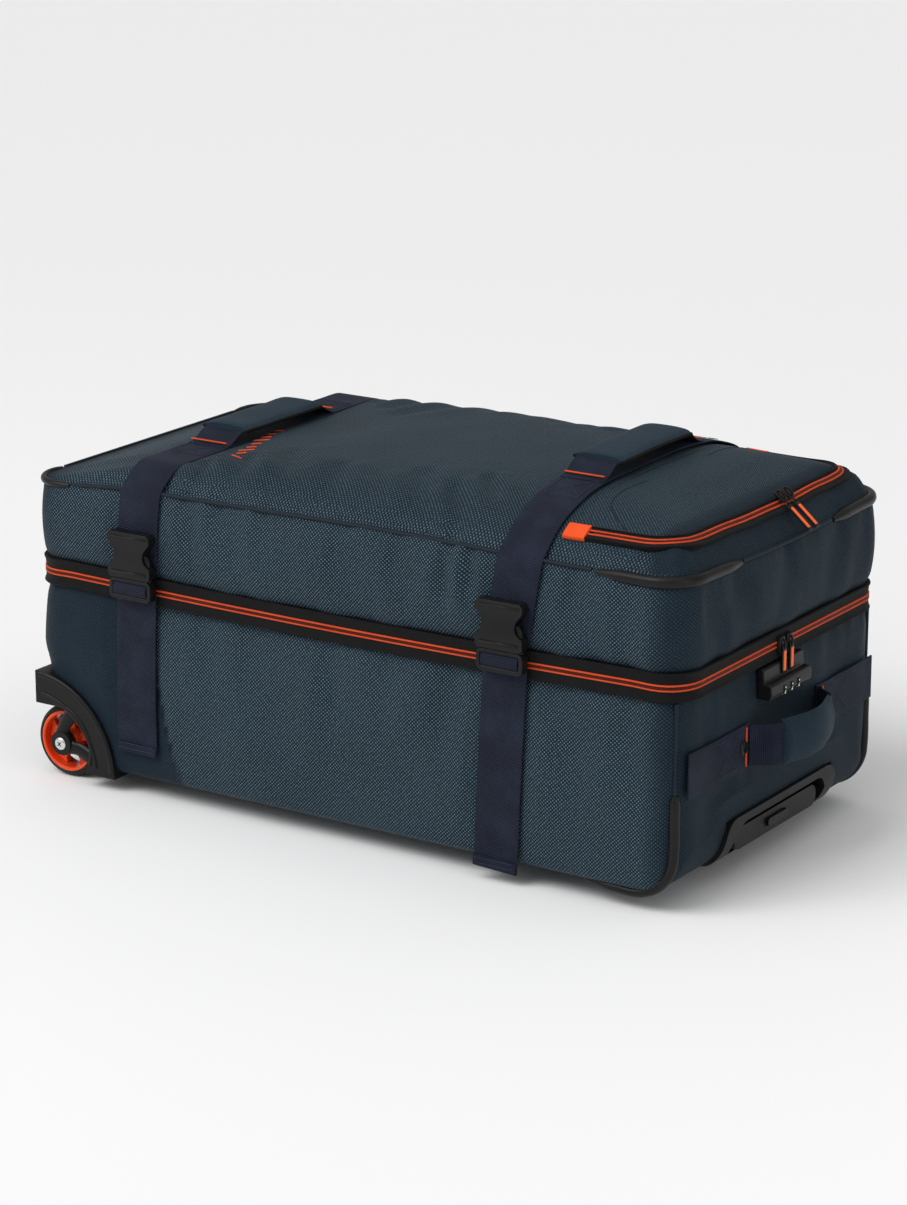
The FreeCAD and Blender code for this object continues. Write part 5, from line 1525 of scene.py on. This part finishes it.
def pocket_sliders():
    """The pocket's two sliders lie on its zip at the handle end; their pulls hang over the edge."""
    turn = Matrix.Rotation(math.radians(40), 3, "Y")
    arch = ((-0.0055, 0.001), (-0.0035, 0.0036), (0.001, 0.0040), (0.0045, 0.0034), (0.006, 0.001))
    for key in ("a", "b"):
        low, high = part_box("pocket_slider_" + key)
        centre = (low + high) / 2
        build = Build()
        build.block(centre, (0.0135, high.y - low.y, 0.0030), 0.0013, turn)
        bridge = [centre + turn @ Vector((a, 0, b)) for a, b in arch]
        build.tube(path_of(bridge, 0.001), 0.0012, sides=10, up=(0, 1, 0))
        build.piece("slider_pocket_" + key, "pocket_slider_" + key, M["plastic"], "black_plastic",
                    replaces=("pocket_slider_" + key,), smooth=45)
        low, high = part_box("pocket_pull_" + key)
        y = (low.y + high.y) / 2
        corner = np.array((low.x, y, high.z))
        far = np.array((high.x, y, low.z))
        direction = unit(far - corner)
        out = np.array((-direction[2], 0, direction[0]))
        tab = Build()
        length = float(np.linalg.norm(far - corner))
        puller(tab, corner + direction * 0.001 - out * 0.0004, length - 0.002, high.y - low.y, direction, out)
        tab.piece("pull_pocket_" + key, "pocket_pull_" + key, [M["plastic"], M["pull"]], "orange_trim",
                  replaces=("pocket_pull_" + key,), smooth=45)


# ---------------------------------------------------------------- end handle

def end_handle():
    """The webbing across the end face, the studs, and the padded loop that swings on it."""
    low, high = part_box("end_handle_webbing")
    face = high.x
    level = (low.z + high.z) / 2
    end_webbing(face, level, high.z - low.z, high.y)
    studs(level)
    end_loop(face, level)


def end_webbing(face, level, wide, reach):
    """Webbing on the end face at each side of the loop, with its orange bar and box of stitches."""
    band, bars, threads = Build(), Build(), Build()
    low_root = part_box("end_handle_loop")[1].y
    for side in (-1, 1):
        y = np.linspace(low_root - 0.006, reach + 0.001, 40)
        bow = 0.0004 + 0.0007 * noise(np.column_stack([y, y * 0, y * 0 + side]), 0.03, 41)
        path = np.column_stack([face - 0.0009 + bow, side * y, level + 0.0006 * np.sin(y * 40)])
        band.band(path, (0, 0, 1), wide, WEB)
        bar_y = side * (low_root + 0.006)
        bars.tube([(face + 0.0012, bar_y, level + s * (wide / 2 - 0.003)) for s in np.linspace(-1, 1, 20)],
                  0.0012, sides=8, up=(1, 0, 0), flat=0.7)
        near, far, half = side * 0.096, side * 0.132, wide / 2 - 0.005
        corners = np.array([(face + 0.0012, y, level + z)
                            for y, z in ((near, -half), (far, -half), (far, half), (near, half))])
        for i, j in CROSSED_BOX:
            stitch_line(threads, np.linspace(corners[i], corners[j], 10))
    band.piece("end_webbing", "root", M["webbing"], "webbing", replaces=("end_handle_webbing",), smooth=50)
    bars.piece("end_bartacks", "root", M["orange"], "orange_trim", smooth=60)
    threads.piece("end_box_stitches", "root", M["thread"], "webbing", smooth=60)


def studs(level):
    """The black stud at each root of the loop."""
    low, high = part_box("end_handle_studs")
    build = Build()
    radius = (high.z - low.z) / 2 + 0.0012
    profile = [(0.0001, low.x - 0.0005), (radius, low.x - 0.0005), (radius, low.x + 0.0012),
               (radius - 0.0012, high.x - 0.0004), (radius - 0.0030, high.x),
               (radius - 0.0034, high.x - 0.001), (0.0001, high.x - 0.0008)]
    for side in (-1, 1):
        build.lathe(profile, (0, side * (high.y - radius - 0.0005), level), "x", 36)
    build.piece("handle_rivets", "root", M["pull_black"], "black_plastic",
                replaces=("end_handle_studs",), smooth=40)


def end_loop(face, level):
    """The loop: a padded cloth grip on webbing that comes out of the face at each root."""
    low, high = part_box("end_handle_loop")
    root_y, reach = high.y, high.x - 0.0045
    tall = high.z - low.z
    half_loop = [(face + 0.0012, root_y, 0), (face + 0.007, root_y - 0.006, 0),
                 (face + 0.021, root_y - 0.016, 0), (reach - 0.006, 0.036, 0), (reach, 0.016, 0)]
    path = path_of([(x, -y, z) for x, y, z in half_loop] + half_loop[::-1], 0.002)
    path[:, 2] = level
    web = Build().band(path, (0, 0, 1), tall + 0.002, 0.0022)
    web.piece("loop_webbing", None, M["webbing"], "webbing", smooth=50,
              blend=("root", "end_handle", (face, 0, level), (face + 0.016, 0, level)))
    pad_path = path[abs(path[:, 1]) < 0.050]
    count = len(pad_path)
    ends = np.clip(np.minimum(np.arange(count), np.arange(count)[::-1]) / 3, 0, 1) ** 0.5
    tangent = unit(np.gradient(pad_path, axis=0))
    out = np.stack([tangent[:, 1], -tangent[:, 0], tangent[:, 2] * 0], 1)
    out *= np.sign(out[:, :1] + 1e-9)
    shares = np.linspace(-1, 1, 17)
    puff = 0.0046 * np.sqrt(np.maximum(1 - abs(shares) ** 2.6, 0))
    rows = section(shares, puff, 0.8)
    curl = 0.0035 * (rows[:, 0] ** 2)
    crumple = 1 + 0.10 * noise(pad_path, 0.02, 43)[:, None]
    half = tall / 2 + 0.0035
    full = (0.35 + 0.65 * ends[:, None, None]) * crumple[..., None]
    P = (pad_path[:, None] + np.array((0, 0, 1)) * (rows[None, :, :1] * half)
         + out[:, None] * ((0.0022 + rows[None, :, 1:]) * full - curl[None, :, None]))
    pad = Build().grid(P, close_v=True, caps=True)
    pad = pad.piece("loop_pad", "end_handle", M["plain"], "weave", replaces=("end_handle_loop",), smooth=60)
    plain_weave(pad, 0.3)


# ---------------------------------------------------------------- marks and the frame's own hard parts

def lid_marks():
    """A plain row of stitched orange bars on the lid, and the curved seam beside the pocket."""
    bars = Build()
    start, end = np.array((-0.232, 0.002)), np.array((-0.184, -0.140))
    across = unit(np.array((end[1] - start[1], start[0] - end[0])))
    count = 9
    for k in range(count):
        middle = start + (end - start) * (k + 0.5) / count
        reach = 0.0052 if k % 3 else 0.0085
        line = [middle + across * a * reach for a in np.linspace(-1, 1, 7)]
        xs, ys = np.array(line).T
        bars.tube(np.column_stack([xs, ys, top_height(xs, ys) + 0.0004]), 0.0011, sides=6, flat=0.6)
    bars.piece("stitched_bars", "lid", M["orange_cloth"], "orange_trim", smooth=60)
    seam = Build()
    curve = ((0.018, 0.060), (0.014, 0.100), (0.020, 0.130), (0.048, 0.158), (0.062, 0.168))
    for side in (-1, 1):
        points = path_of([(POCKET_FOLD + x, side * y, 0) for x, y in curve], 0.003)
        z = top_height(points[:, 0], points[:, 1])
        seam.tube(np.column_stack([points[:, 0], points[:, 1], z - 0.0002]), 0.0010, sides=6, flat=0.8)
    seam.piece("pocket_panel_seam", "flap", M["plain_trim"], "rubber_trim", smooth=60)


def frame_parts():
    """The frame's own hard parts keep their meshes and get softened edges and their materials."""
    looks = (
        ("wheel_housing_front", "guard", 0.0022), ("wheel_housing_rear", "guard", 0.0022),
        ("handle_bezel", "guard", 0.0020), ("trolley_outer_tubes", "alloy", 0),
        ("trolley_mid_tubes", "alloy", 0), ("trolley_inner_tubes", "alloy", 0),
        ("trolley_grip", "plastic", 0.0028), ("grip_button", "pull_black", 0.0008),
        ("trolley_bracket", "guard", 0.0015), ("bearings_front", "steel", 0), ("bearings_rear", "steel", 0),
        ("bottom_board", "board", 0), ("trolley_cover", "board", 0.0008), ("skid_rails", "guard", 0.003),
        ("lid_divider", "net", 0), ("lid_hinge_gusset", "tape", 0),
    )
    for node, look, rounding in looks:
        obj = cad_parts[node]
        obj.data.materials.clear()
        obj.data.materials.append(M[look])
        if rounding:
            soften(obj, rounding, 3, 40)


# ---------------------------------------------------------------- floor, light and camera

def lamp(name, kind, place, direction, power):
    """A light of one kind, turned to shine along a direction."""
    data = bpy.data.lights.new(name, kind)
    data.energy = power
    obj = bpy.data.objects.new(name, data)
    bpy.context.scene.collection.objects.link(obj)
    obj.location = place
    obj.rotation_mode = "QUATERNION"
    obj.rotation_quaternion = Vector(direction).to_track_quat("-Z", "Y")
    return data


def stage():
    """A pale floor, a white surround, two wide suns and two softboxes."""
    mesh = bpy.data.meshes.new("floor")
    reach = 60.0
    mesh.from_pydata([(-reach, -reach, 0), (reach, -reach, 0), (reach, reach, 0), (-reach, reach, 0)], [],
                     [(0, 1, 2, 3)])
    floor = bpy.data.objects.new("floor", mesh)
    bpy.context.scene.collection.objects.link(floor)
    pale = Shader("Pale floor", Base_Color=(0.90, 0.90, 0.90, 1), Roughness=0.9, Specular_IOR_Level=0.1)
    mesh.materials.append(pale.material)
    world = bpy.data.worlds.new("studio")
    bpy.context.scene.world = world
    world.use_nodes = True
    world.node_tree.nodes["Background"].inputs[0].default_value = (1.0, 1.0, 1.0, 1)
    world.node_tree.nodes["Background"].inputs[1].default_value = 0.44
    suns = (("key", (0.35, 0.8, -1.0), 1.35, 35), ("top", (-0.15, 0.25, -1.0), 0.55, 70))
    for name, direction, power, spread in suns:
        lamp(name, "SUN", (0, 0, 0), direction, power).angle = math.radians(spread)
    boxes = (("left_box", (-1.6, -1.9, 1.5), (0, 0, 0.2), 1.4, 1.4, 14),
             ("right_box", (2.4, -0.6, 1.0), (0.3, 0, 0.2), 1.0, 1.2, 6))
    for name, place, aim, wide, tall, power in boxes:
        data = lamp(name, "AREA", place, Vector(aim) - Vector(place), power)
        data.shape = "RECTANGLE"
        data.size = wide
        data.size_y = tall


def camera():
    """A long lens from the front and the handle end: how far round, how high and how far away."""
    azimuth, elevation, distance = math.radians(33.27), math.radians(16.75), 3.665
    aim = Vector((MID, 0.0, 0.182))
    back = Vector((math.sin(azimuth) * math.cos(elevation), -math.cos(azimuth) * math.cos(elevation),
                   math.sin(elevation)))
    data = bpy.data.cameras.new("camera")
    data.sensor_width = 36
    data.lens = 106.45
    data.shift_x, data.shift_y = 0.0014, 0.0154
    cam = bpy.data.objects.new("camera", data)
    bpy.context.scene.collection.objects.link(cam)
    cam.location = aim + back * distance
    cam.rotation_mode = "QUATERNION"
    cam.rotation_quaternion = (-back).to_track_quat("-Z", "Y")
    bpy.context.scene.camera = cam
    view = bpy.context.scene.view_settings
    view.view_transform = "Standard"
    view.look = "None"


# ---------------------------------------------------------------- the whole bag

camera()
stage()
fabric_shells()
lid_marks()
main_zips()
pocket_zip()
lid_trim()
base_trim()
straps()
sleeves()
lower_straps()
buckles()
wheels()
guards()
fork_arms()
sliders()
pocket_sliders()
zip_lock()
end_handle()
frame_parts()
